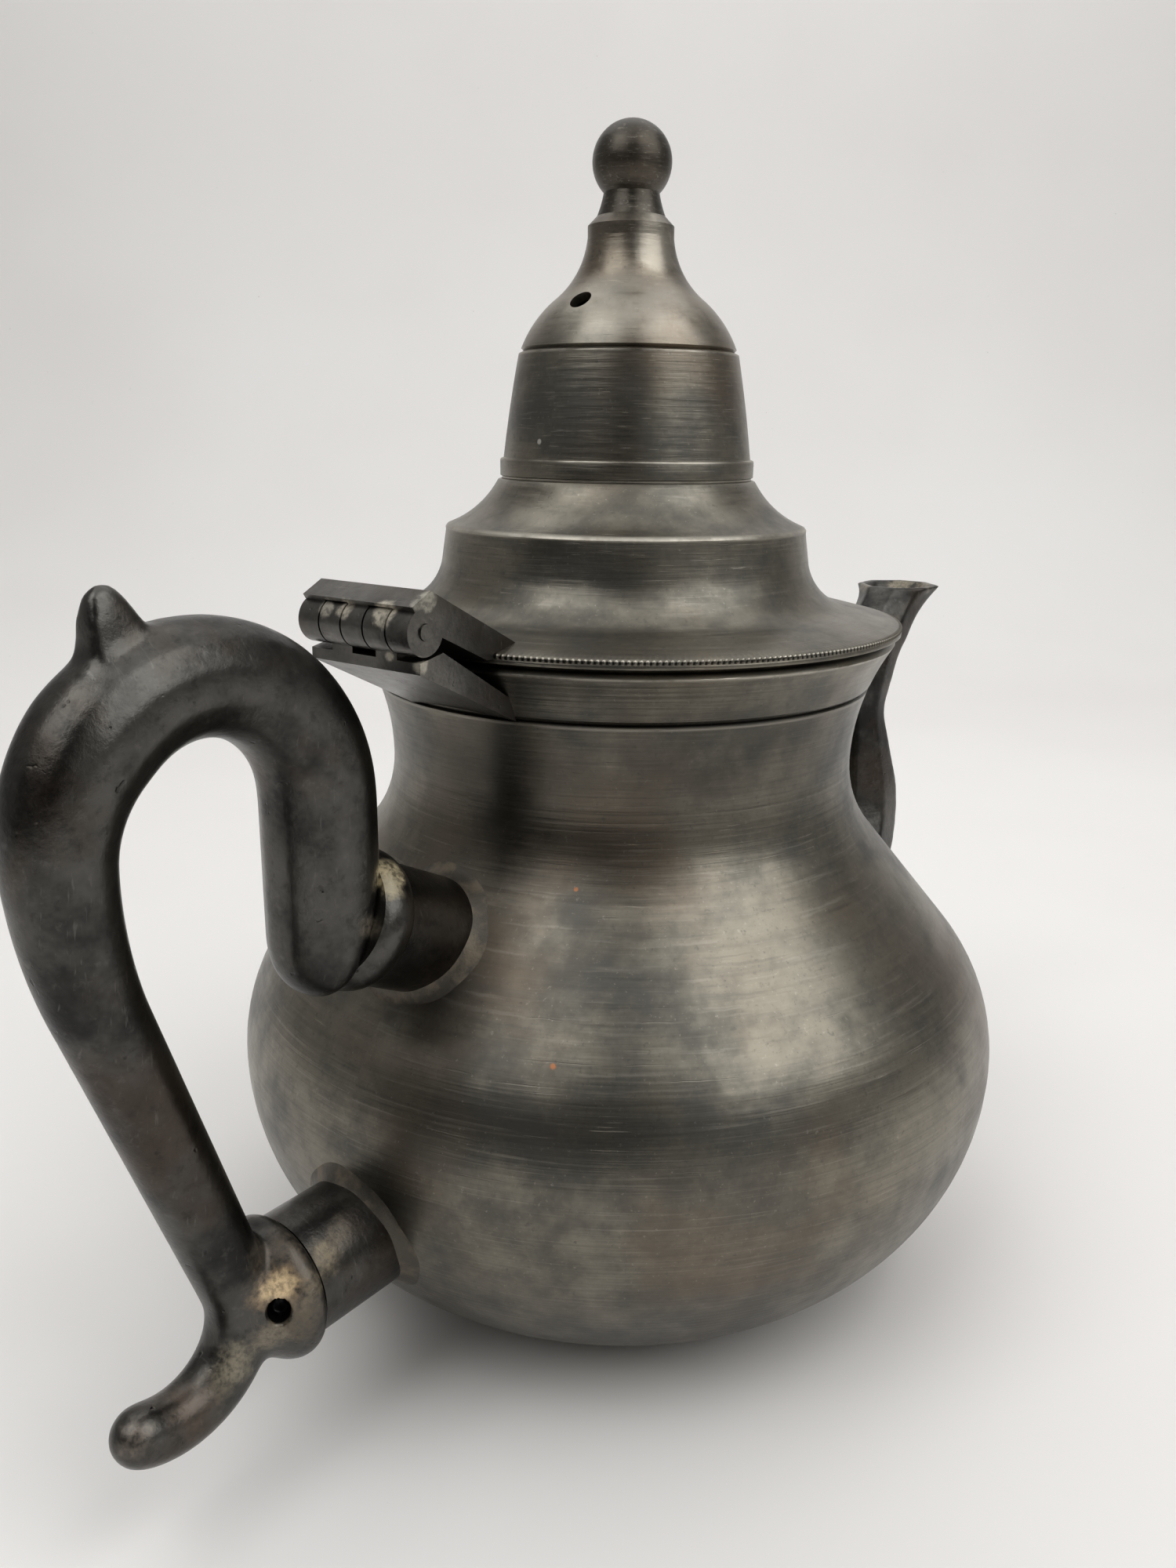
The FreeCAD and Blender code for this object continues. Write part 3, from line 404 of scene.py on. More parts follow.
@dataclass(frozen=True)
class TurnedPewter:
    """Pewter finished on a lathe: fine rings, warm stain, worn edges, dark grooves and gaps with painted
    shade, painted dark bands and painted highlights.

    Args:
        name: Name of the material.
        worn_and_sheen_bands: Worn edges, and wide bands of painted highlight.
        shade_and_grime_seams: Grooves and gaps painted dark: painted shade under the lid's flange, and dark
            lines in grooves.
        painted_dark_bands: Bands of painted shade, standing in for dark surroundings that the metal mirrors.
        patches: Blots of stain, residue and bare metal, and painted shade where dark surroundings are
            mirrored.
        milling: Cuts round an edge, if there are any.
        bright: Colour of clean metal.
        dark: Colour of dull metal.
        warm: Colour of brown stain.
        worn_and_sheen: Colour of metal rubbed bare, also of the painted highlight bands.
        painted_shade_dark: Colour of the painted shade bands.
        shade_and_grime: Colour of the painted shade and grime in gaps and grooves.
        roughness: Middle roughness.
        seed: Shift of the pattern in metres.
    """

    name: str
    worn_and_sheen_bands: tuple[Lip, ...] = ()
    shade_and_grime_seams: tuple[Lip, ...] = ()
    painted_dark_bands: tuple[Lip, ...] = ()
    patches: tuple[Patch, ...] = ()
    milling: Union[Milling, None] = None
    bright: Colour = (0.215, 0.198, 0.16)
    dark: Colour = (0.1, 0.096, 0.084)
    warm: Colour = (0.17, 0.135, 0.1)
    worn_and_sheen: Colour = (0.46, 0.43, 0.37)
    painted_shade_dark: Colour = (0.034, 0.034, 0.031)
    shade_and_grime: Colour = (0.006, 0.006, 0.005)
    roughness: float = 0.36
    seed: float = 0.0

    def bands(self, graph: Graph, edges: tuple[Lip, ...], ragged: Number) -> Number:
        """Strength of several bands round the pot.

        Args:
            graph: Graph of the material.
            edges: The bands.
            ragged: Share by which noise breaks them up.

        Returns:
            The strength from 0 to 1.
        """
        total: Number = 0.0
        for edge in edges:
            total = graph.z.near(edge.height * MM, edge.width * MM) * edge.strength * ragged + total
        return total

    def make(self) -> Material:
        """Make the material.

        Returns:
            The material.
        """
        graph = Graph(self.name)
        around = graph.math("ARCTAN2", graph.y, graph.x)
        radius = graph.math("SQRT", graph.x * graph.x + graph.y * graph.y)
        # Grows up a wall and out over a flat, so that both are ringed.
        along = graph.z + radius * 0.7
        fine = graph.noise(1.0, 2.0, 0.6, graph.place(around * 3.0, self.seed, along * 2900.0))
        coarse = graph.noise(1.0, 3.0, 0.7, graph.place(around * 0.6, self.seed + 7.0, along * 900.0))
        stain = graph.noise(34.0, 5.0, 0.62, graph.place(graph.x + self.seed, graph.y, graph.z * 1.6))
        cloud = graph.noise(150.0, 4.0, 0.65)
        pits = graph.noise(900.0, 2.0, 0.7)
        speck = graph.noise(1500.0, 2.0, 0.75)
        rings = graph.math("SINE", along * 5300.0 + coarse * 5.0) * coarse.step(0.35, 0.6)
        lines = graph.place(around * 5.0, graph.z * 60.0, along * 6500.0)
        scratch = graph.noise(1.0, 1.0, 0.4, lines).step(0.72, 0.8)
        # Metal and stain first, then the lathe's marks, then wear and pits.
        colour = graph.mix((stain * 0.6 + cloud * 0.4).step(0.38, 0.63), self.bright, self.dark)
        colour = graph.mix(graph.noise(22.0, 3.0, 0.6).step(0.46, 0.68) * 0.75, colour, self.warm)
        colour = graph.mix(coarse.step(0.5, 0.72) * 0.24 + rings.step(0.1, 1.0) * 0.12, colour, self.dark)
        colour = graph.mix(fine.step(0.46, 0.3) * 0.4, colour, self.dark)
        rubbed = fine.step(0.56, 0.72) * 0.16 + scratch * 0.12 + speck.step(0.62, 0.78) * 0.24
        colour = graph.mix(rubbed, colour, self.worn_and_sheen)
        colour = graph.mix(pits.step(0.62, 0.76) * 0.6 + speck.step(0.42, 0.28) * 0.35, colour, self.dark)
        # Painted shade: bands darkened where the metal mirrors dark surroundings.
        if self.painted_dark_bands:
            mottled = cloud.step(0.1, 0.55) * 0.4 + 0.6
            colour = graph.mix(self.bands(graph, self.painted_dark_bands, mottled), colour, self.painted_shade_dark)
        # Worn edges, and painted highlight bands.
        if self.worn_and_sheen_bands:
            colour = graph.mix(self.bands(graph, self.worn_and_sheen_bands, cloud.step(0.25, 0.6)), colour, self.worn_and_sheen)
        for patch in self.patches:
            colour = graph.mix(patch.share(graph, cloud), colour, patch.colour)
        # Painted shade in the gap under the lid's flange, and dark lines in grooves.
        if self.shade_and_grime_seams:
            colour = graph.mix(self.bands(graph, self.shade_and_grime_seams, 1.0), colour, self.shade_and_grime)
        # Worn tops of the teeth, and the gaps between them painted near black.
        if self.milling:
            colour = graph.mix(self.milling.tops(graph, radius) * 0.9, colour, self.worn_and_sheen)
            colour = graph.mix(self.milling.gaps(graph, around, radius) * 0.92, colour, self.shade_and_grime)
        graph.bump(fine * 0.4 + coarse * 0.25 + rings * 0.12 + cloud * 0.6 - scratch * 0.3, 0.00006)
        rough = self.roughness + (stain - 0.5) * 0.25 + (fine - 0.5) * 0.12 + (cloud - 0.5) * 0.2
        return graph.finish(colour, rough)


@dataclass(frozen=True)
class CastPewter:
    """Cast pewter rubbed smooth: darker, with soft blotches, pits, short scratches and dry residue; its
    darkness is partly painted shade for the dark floor in front that the castings mirror.

    Args:
        name: Name of the material.
        patches: Blots of residue, and painted shade in a hole.
        bright: Colour of rubbed metal.
        dark: Colour of dull metal.
        warm: Colour of brown stain.
        scuffed: Colour of short scratches.
        scuffs: Strength of the scratches.
        pit: Colour of the pits.
        dry: Share of the metal that a full blot hides.
        roughness: Middle roughness.
    """

    name: str
    patches: tuple[Patch, ...] = ()
    # Painted shade in part: these colours are set low for the dark floor in front that the handle mirrors.
    bright: Colour = (0.086, 0.083, 0.076)
    dark: Colour = (0.025, 0.025, 0.024)
    warm: Colour = (0.062, 0.047, 0.036)
    scuffed: Colour = (0.2, 0.193, 0.178)
    scuffs: float = 0.25
    pit: Colour = (0.02, 0.02, 0.019)
    dry: float = 0.9
    roughness: float = 0.34

    def make(self) -> Material:
        """Make the material.

        Returns:
            The material.
        """
        graph = Graph(self.name)
        blot = graph.noise(48.0, 5.0, 0.66)
        mottle = graph.noise(430.0, 5.0, 0.7)
        grain = graph.noise(1300.0, 3.0, 0.65)
        ragged = graph.noise(330.0, 5.0, 0.68)
        lines = graph.place(graph.x * 2600.0, graph.y * 300.0, graph.z * 420.0)
        scuff = graph.noise(1.0, 2.0, 0.5, lines).step(0.62, 0.8)
        pits = graph.noise(420.0, 2.0, 0.7).step(0.68, 0.78)
        colour = graph.mix(blot.step(0.38, 0.62), self.bright, self.dark)
        colour = graph.mix(graph.noise(38.0, 4.0, 0.62).step(0.46, 0.66) * 0.7, colour, self.warm)
        colour = graph.mix(mottle.step(0.5, 0.3) * 0.5, colour, self.dark)
        colour = graph.mix(mottle.step(0.56, 0.74) * 0.2, colour, self.scuffed)
        colour = graph.mix(scuff * self.scuffs, colour, self.scuffed)
        colour = graph.mix(pits * 0.5, colour, self.pit)
        broken = grain.step(0.32, 0.6) * 0.6 + 0.4
        metallic: Number = 1.0
        for patch in self.patches:
            share = patch.share(graph, ragged)
            share = share if patch.whole else share * broken
            colour = graph.mix(share, colour, patch.colour)
            metallic = metallic - share * self.dry
        graph.bump(grain * 0.5 + mottle * 0.8 + blot * 2.0 - pits, 0.00007)
        return graph.finish(colour, self.roughness + (blot - 0.5) * 0.25 + (grain - 0.5) * 0.16, metallic)


@dataclass(frozen=True)
class Solder:
    """Dull solder with bronze-coloured residue.

    Args:
        name: Name of the material.
        metal: Colour of the solder.
        residue: Colour of the residue.
    """

    name: str
    metal: Colour = (0.085, 0.077, 0.064)
    residue: Colour = (0.17, 0.142, 0.105)

    def make(self) -> Material:
        """Make the material.

        Returns:
            The material.
        """
        graph = Graph(self.name)
        blot = graph.noise(260.0, 4.0, 0.65)
        colour = graph.mix(blot.step(0.42, 0.68), self.metal, self.residue)
        graph.bump(graph.noise(700.0, 4.0, 0.65), 0.00012)
        return graph.finish(colour, 0.42 + blot * 0.2, 0.8)


def keep(mesh: BMesh, name: str) -> Object:
    """Turn a finished mesh into an object.

    Args:
        mesh: Mesh to keep, which is freed.
        name: Name of the object.

    Returns:
        The object, at the origin.
    """
    data = bpy.data.meshes.new(name)
    mesh.to_mesh(data)
    mesh.free()
    thing = bpy.data.objects.new(name, data)
    bpy.context.scene.collection.objects.link(thing)
    return thing


def settle(piece: Object, material: Material, body: Body, slot: Slot, *nodes: str) -> None:
    """Give a new piece its finish and its place in the model.

    Args:
        piece: The piece.
        material: Its finish.
        body: Body that it rides on.
        slot: Slot that its finish belongs to; not used.
        nodes: CAD nodes that it stands for.
    """
    piece.data.materials.append(material)
    piece.data.shade_smooth()
    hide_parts(*nodes)
    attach(piece, body.value)
    LOG.info("%s stands for %s", piece.name, ", ".join(nodes))


def arc_points(start: Spot, end: Spot, turn: float, steps: int) -> list[Spot]:
    """Points of an arc after its start.

    Args:
        start: First point.
        end: Last point.
        turn: Degrees that the arc turns to the left.
        steps: Number of points.

    Returns:
        The points, the end included.
    """
    half = math.radians(turn) / 2
    across, up = end[0] - start[0], end[1] - start[1]
    radius = math.hypot(across, up) / (2 * math.sin(half))
    first = math.atan2(up, across) - half
    points = []
    for step in range(1, steps + 1):
        heading = first + 2 * half * step / steps
        points.append((start[0] + radius * (math.sin(heading) - math.sin(first)),
                       start[1] + radius * (math.cos(first) - math.cos(heading))))
    return points


@dataclass
class LidSkirt:
    """Skirt of the lid with a milled flange, turned from its profile. Lengths are in millimetres.

    Args:
        base: Height of the flange's underside.
        flange: Radius of the flange.
        teeth: Number of teeth round its edge.
        tooth_depth: Depth of the cuts between the teeth.
        tooth_sink: Depth of the cuts in the flange's top.
        tooth_low: Foot of the cuts above the flange's underside.
        tooth_high: Top of the cuts above the flange's underside.
        tooth_gap: Share of a tooth's pitch on each side of a cut's middle.
        tooth_slope: Steepness of a cut's sides.
        steps_per_tooth: Columns of the mesh to one tooth.
        crease: Degrees from which an edge stays crisp.
    """

    base: float = 109.98
    flange: float = 45.35
    teeth: int = 340
    tooth_depth: float = 0.3
    tooth_sink: float = 0.12
    tooth_low: float = 0.75
    tooth_high: float = 1.45
    tooth_gap: float = 0.3
    tooth_slope: float = 1.6
    steps_per_tooth: int = 3
    crease: float = 40.0

    def profile(self) -> list[Spot]:
        """Closed profile in millimetres, from the flange's lower edge round the outside.

        Returns:
            Points (radius, height above the flange's underside).
        """
        outside = [(45.0, 0.0), (45.25, 0.12), (45.3, 0.55), (45.22, 0.7), (45.34, 0.82), (45.34, 1.24),
                   (45.2, 1.42), (44.7, 1.52), (43.0, 1.95), (40.0, 2.7), (37.0, 3.4)]
        outside += arc_points((37.0, 3.4), (30.0, 10.2), -66.0, 14)
        outside += [(29.6, 12.9), (29.25, 15.3), (29.3, 15.75), (29.0, 16.15), (28.3, 16.45)]
        outside += arc_points((28.3, 16.45), (20.75, 23.2), -38.0, 10)
        outside += [(20.45, 23.35), (20.1, 23.45), (20.1, 23.7), (20.4, 23.85), (20.42, 26.2),
                    (20.3, 26.45), (19.9, 26.6), (19.0, 26.6), (19.0, 22.9)]
        inside = arc_points((19.0, 22.9), (26.9, 15.1), 38.0, 8) + [(28.6, 10.2)]
        inside += arc_points((28.6, 10.2), (37.1, 2.0), 66.0, 10) + [(37.1, 0.0)]
        return outside + inside

    def build(self) -> Object:
        """Turn the profile and cut the teeth.

        Returns:
            The skirt.
        """
        mesh = bmesh.new()
        spots = [mesh.verts.new((x * MM, 0.0, (self.base + z) * MM)) for x, z in self.profile()]
        edges = [mesh.edges.new((spots[index - 1], spot)) for index, spot in enumerate(spots)]
        steps = self.teeth * self.steps_per_tooth
        bmesh.ops.spin(mesh, geom=spots + edges, cent=(0, 0, 0), axis=(0, 0, 1), angle=math.tau,
                       steps=steps, use_merge=True)
        low, high = (self.base + self.tooth_low) * MM, (self.base + self.tooth_high) * MM
        for vert in mesh.verts:
            reach = math.hypot(vert.co.x, vert.co.y)
            if reach > (self.flange - self.tooth_depth) * MM and low < vert.co.z < high:
                phase = math.atan2(vert.co.y, vert.co.x) * self.teeth / math.tau % 1.0
                cut = min(1.0, max(0.0, 1.0 - abs(phase - 0.5) / self.tooth_gap) * self.tooth_slope)
                vert.co.xy *= 1.0 - self.tooth_depth * MM * cut / reach
                vert.co.z -= self.tooth_sink * MM * cut
        bmesh.ops.recalc_face_normals(mesh, faces=mesh.faces)
        return keep(mesh, "lid_skirt_milled")

    def dress(self, material: Material) -> None:
        """Put the skirt on the lid.

        Args:
            material: Its finish.
        """
        piece = self.build()
        settle(piece, material, Body.LID, Slot.TURNED, "lid_skirt")
        piece.data.set_sharp_from_angle(angle=math.radians(self.crease))


def soften(piece: Object, voxel: float, rounds: int) -> None:
    """Melt a piece into one skin and ease its edges, as in a casting.

    Args:
        piece: The piece.
        voxel: Size of the cells in millimetres.
        rounds: Passes of smoothing.
    """
    melt = piece.modifiers.new("melt", "REMESH")
    melt.mode = "VOXEL"
    melt.voxel_size = voxel * MM
    melt.use_smooth_shade = True
    ease = piece.modifiers.new("ease", "SMOOTH")
    ease.factor = 0.5
    ease.iterations = rounds


@dataclass(frozen=True)
class Run:
    """One stretch of a limb: straight if it has no turn, else an arc.

    Args:
        size: Length, or radius of the arc, in millimetres.
        turn: Degrees that it turns to the left.
        first: Section radius at its start.
        last: Section radius at its end.
        steps: Number of sections.
    """

    size: float
    turn: float
    first: float
    last: float
    steps: int


@dataclass
class Handle:
    """Cast scroll handle with heel, thumb piece, lower bead and tail. Lengths are in millimetres.

    Args:
        heel: Place of the inner limb's foot: distance from the pot's axis and height.
        upper_tilt: Tilt of the upper joint's axis in degrees.
        upper_seat: Point on the upper joint's axis where the collar ends.
        seat_sink: How far the heel reaches into the collar, inwards and down.
        lower_tilt: Tilt of the lower joint's axis.
        lower_foot: Point on the lower joint's axis where the socket ends.
        voxel: Size of the cells that melt the forms together.
        rounds: Passes that soften the casting.
        inner: Runs of the inner limb, upwards.
        outer: Runs of the arch, outer limb and tail.
        lap: How far the arch begins inside the inner limb.
        bead: Stations (distance along the lower joint's axis, radius) of bead and boss.
        blade: Stations (near side, far side, height) of the thumb piece.
        blade_width: Width of the thumb piece as a share of its length.
        drain: Mouth of the drain hole in the bead.
        drain_axis: Direction in which the hole goes in.
        drain_radius: Radius of the hole.
        drain_depth: Depth of the hole.
        drain_slope: Steepness of the hole's side.
    """

    heel: Spot = (67.0, 74.3)
    upper_tilt: float = 26.0
    upper_seat: Spot = (64.75, 77.39)
    seat_sink: Spot = (0.6, 0.3)
    lower_tilt: float = -1.0
    lower_foot: Spot = (76.89, 27.26)
    voxel: float = 0.42
    rounds: int = 70
    inner: tuple[Run, ...] = (Run(6.6, 0, 7.8, 7.8, 3), Run(13.7, 0, 7.8, 7.8, 4))
    outer: tuple[Run, ...] = (
        Run(18.15, -90, 7.8, 7.4, 12), Run(18.15, -45, 7.4, 7.6, 6), Run(18.15, -45, 7.6, 6.4, 6),
        Run(60.0, -19, 6.4, 5.5, 8), Run(46.5, 0, 5.5, 4.9, 10), Run(11.0, 136, 4.9, 4.2, 16))
    lap: float = 1.0
    bead: tuple[Spot, ...] = ((0.0, 9.1), (0.5, 9.9), (1.3, 10.4), (2.3, 10.5), (3.3, 10.2),
                              (4.4, 9.4), (5.8, 8.0), (7.5, 6.4), (9.5, 4.8))
    blade: tuple[Point, ...] = (
        (89.8, 98.4, 113.5), (90.2, 98.0, 117.0), (90.6, 98.0, 118.8), (91.3, 98.0, 120.2),
        (92.1, 97.8, 121.7), (92.9, 97.5, 123.0), (93.7, 96.9, 124.0), (94.5, 96.1, 124.7))
    blade_width: float = 0.68
    drain: Point = (-83.4, -7.0, 29.1)
    drain_axis: Point = (0.58, 0.7, -0.4)
    drain_radius: float = 1.75
    drain_depth: float = 4.0
    drain_slope: float = 3.0

    def route(self, x: float, z: float, heading: float, runs: Sequence[Run]) -> list[Station]:
        """Stations along runs.

        Args:
            x: Start, out from the pot's axis.
            z: Start height.
            heading: Start direction in degrees up from outward.
            runs: The runs.

        Returns:
            Stations (x, z, heading, section radius).
        """
        spots = [(x, z, heading, runs[0].first)]
        for run in runs:
            for step in range(1, run.steps + 1):
                before = math.radians(heading)
                if run.turn == 0:
                    x += run.size / run.steps * math.cos(before)
                    z += run.size / run.steps * math.sin(before)
                else:
                    heading += run.turn / run.steps
                    after = math.radians(heading)
                    side = math.copysign(run.size, run.turn)
                    x += side * (math.sin(after) - math.sin(before))
                    z += side * (math.cos(before) - math.cos(after))
                spots.append((x, z, heading, run.first + (run.last - run.first) * step / run.steps))
        return spots

    def domed(self, spot: Station, way: int) -> list[Station]:
        """Stations that close a limb with a dome.

        Args:
            spot: Station that the dome stands on.
            way: 1 to go on along the limb and -1 to go back.

        Returns:
            The stations, outwards.
        """
        x, z, heading, radius = spot
        stations = []
        for bearing in DOME_BEARINGS:
            reach = way * radius * math.sin(math.radians(bearing))
            stations.append((x + reach * math.cos(math.radians(heading)),
                             z + reach * math.sin(math.radians(heading)),
                             heading, radius * math.cos(math.radians(bearing))))
        return stations

    def loft(self, mesh: BMesh, stations: Sequence[Station], segments: int = 12,
             flat: float = 1.0) -> None:
        """Add a closed limb through sections.

        Args:
            mesh: Mesh to add to.
            stations: Stations (x, z, heading, radius).
            segments: Corners of a section.
            flat: Width of a section across the handle's plane, as a share of its radius.
        """
        loops = []
        for index, (x, z, heading, radius) in enumerate(stations):
            turn = (Matrix.Translation((-x * MM, 0.0, z * MM))
                    @ Matrix.Rotation(math.radians(heading - 90), 4, "Y")
                    @ Matrix.Diagonal((1.0, flat, 1.0, 1.0)) @ Matrix.Rotation(math.pi / segments, 4, "Z"))
            closed = index in (0, len(stations) - 1)
            ring = bmesh.ops.create_circle(mesh, cap_ends=closed, segments=segments,
                                           radius=radius * MM, matrix=turn)["verts"]
            loops.append({edge for vert in ring for edge in vert.link_edges})
        for first, second in zip(loops, loops[1:]):
            bmesh.ops.bridge_loops(mesh, edges=list(first | second))

    def build(self) -> Object:
        """Build limb, heel, thumb piece and bosses and melt them into one casting.

        Returns:
            The handle.
        """
        mesh = bmesh.new()
        inner = self.route(*self.heel, 90.0, self.inner)
        self.loft(mesh, self.domed(inner[0], -1)[::-1] + inner)
        tilt = math.radians(self.upper_tilt)
        seat = (-(self.upper_seat[0] - self.seat_sink[0]) * MM, 0.0,
                (self.upper_seat[1] - self.seat_sink[1]) * MM)
        bmesh.ops.bisect_plane(mesh, geom=mesh.verts[:] + mesh.edges[:] + mesh.faces[:], dist=1e-7,
                               plane_co=seat, plane_no=(math.cos(tilt), 0.0, -math.sin(tilt)),
                               clear_outer=True)
        bmesh.ops.holes_fill(mesh, edges=[edge for edge in mesh.edges if edge.is_boundary])
        girth = self.outer[0].first
        outer = self.route(inner[-1][0], inner[-1][1] - self.lap, 90.0,
                           (Run(self.lap, 0, girth, girth, 1),) + self.outer)
        self.loft(mesh, outer + self.domed(outer[-1], 1))
        self.thumb(mesh)
        self.boss(mesh)
        bmesh.ops.recalc_face_normals(mesh, faces=mesh.faces)
        rough = keep(mesh, "handle_rough")
        soften(rough, self.voxel, self.rounds)
        return self.drilled(rough)

    def drilled(self, rough: Object) -> Object:
        """Keep the softened skin of the casting and sink the drain hole into it.

        Args:
            rough: The casting with its softening, which is removed.

        Returns:
            The handle.
        """
        mesh = bmesh.new()
        mesh.from_mesh(rough.evaluated_get(bpy.context.evaluated_depsgraph_get()).to_mesh())
        bpy.data.objects.remove(rough)
        axis = Vector(self.drain_axis).normalized()
        for vert in mesh.verts:
            away = vert.co / MM - Vector(self.drain)
            along = away.dot(axis)
            inside = 1.0 - (away - axis * along).length / self.drain_radius
            if inside > 0.0 and abs(along) < self.drain_depth:
                vert.co += axis * min(1.0, inside * self.drain_slope) * self.drain_depth * MM
        bmesh.ops.recalc_face_normals(mesh, faces=mesh.faces)
        return keep(mesh, "handle_casting")

    def thumb(self, mesh: BMesh) -> None:
        """Add the thumb piece that rises from the arch.

        Args:
            mesh: Mesh to add to.
        """
        self.loft(mesh, [((near + far) / 2, height, 90.0, (far - near) / math.sqrt(2))
                         for near, far, height in self.blade], 4, self.blade_width)

    def boss(self, mesh: BMesh) -> None:
        """Add the bead and boss of the lower joint.

        Args:
            mesh: Mesh to add to.
        """
        x, z = self.lower_foot
        tilt = math.radians(self.lower_tilt)
        self.loft(mesh, [(x + reach * math.cos(tilt), z + reach * math.sin(tilt), self.lower_tilt, radius)
                         for reach, radius in self.bead], 32)

    def dress(self, material: Material) -> None:
        """Put the handle on the pot.

        Args:
            material: Its finish.
        """
        settle(self.build(), material, Body.POT, Slot.CAST, "handle", "lower_collar")


@dataclass
class SolderRing:
    """Ring of solder that runs out from a socket onto the pot's wall. Lengths are in millimetres.

    Args:
        node: CAD node that it stands for.
        wall: CAD node of the wall that it lies on.
        root: Point where the socket's axis crosses the wall.
        tilt: Tilt of that axis in degrees.
        socket: Radius of the socket.
        width: Width of the ring on the wall.
        height: Height of the ring at the socket.
        lap: How far it reaches inside the socket's skin.
        sink: Depth of its edges in wall and socket.
        columns: Points round the ring.
        rows: Steps across the ring.
    """

    node: str
    wall: str
    root: Spot
    tilt: float
    socket: float = 8.85
    width: float = 2.6
    height: float = 1.5
    lap: float = 0.3
    sink: float = 0.06
    columns: int = 96
    rows: int = 8

    def build(self) -> Object:
        """Lay the ring on the wall.

        Returns:
            The ring.
        """
        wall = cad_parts[self.wall]
        angle = math.radians(self.tilt)
        out = Vector((-math.cos(angle), 0.0, math.sin(angle)))
        up = Vector((math.sin(angle), 0.0, math.cos(angle)))
        root = Vector((-self.root[0], 0.0, self.root[1])) * MM
        mesh = bmesh.new()
        rings = []
        for row in range(self.rows + 1):
            share = row / self.rows
            ring = []
            for column in range(self.columns):
                turn = math.tau * column / self.columns
                # Two waves round the ring make its outline and its height uneven.
                sway = 1.0 + 0.1 * math.sin(3 * turn + 1.0) + 0.06 * math.sin(7 * turn)
                reach = (self.socket - self.lap + (self.width * sway + self.lap) * share) * MM
                side = up * math.cos(turn) + Vector((0.0, 1.0, 0.0)) * math.sin(turn)
                start = root + side * reach + out * WALL_SEARCH
                hit, spot, _, _ = wall.ray_cast(start, -out, distance=2 * WALL_SEARCH)
                spot = spot if hit else start - out * WALL_SEARCH
                rise = (1.0 - share) ** 2 * self.height * sway - self.sink
                ring.append(mesh.verts.new(spot + out * rise * MM))
            rings.append(ring)
        for first, second in zip(rings, rings[1:]):
            for column in range(self.columns):
                mesh.faces.new((first[column - 1], first[column], second[column], second[column - 1]))
        bmesh.ops.recalc_face_normals(mesh, faces=mesh.faces)
        return keep(mesh, self.node + "_fillet")

    def dress(self, material: Material) -> None:
        """Put the ring on the pot.

        Args:
            material: Its finish.
        """
        settle(self.build(), material, Body.POT, Slot.SOLDER, self.node)


@dataclass(frozen=True)
class Lamp:
    """Soft square lamp of the studio. Lengths are in metres.

    Args:
        name: Its name.
        bearing: Degrees to the right of the line back to the camera.
        rise: Degrees above the table.
        distance: Distance from the pot.
        size: Length of its side.
        glow: Brightness of its face.
        aim: Distance behind the pot of the point that it faces.
    """

    name: str
    bearing: float
    rise: float
    distance: float
    size: float
    glow: float
    aim: float = 0.0


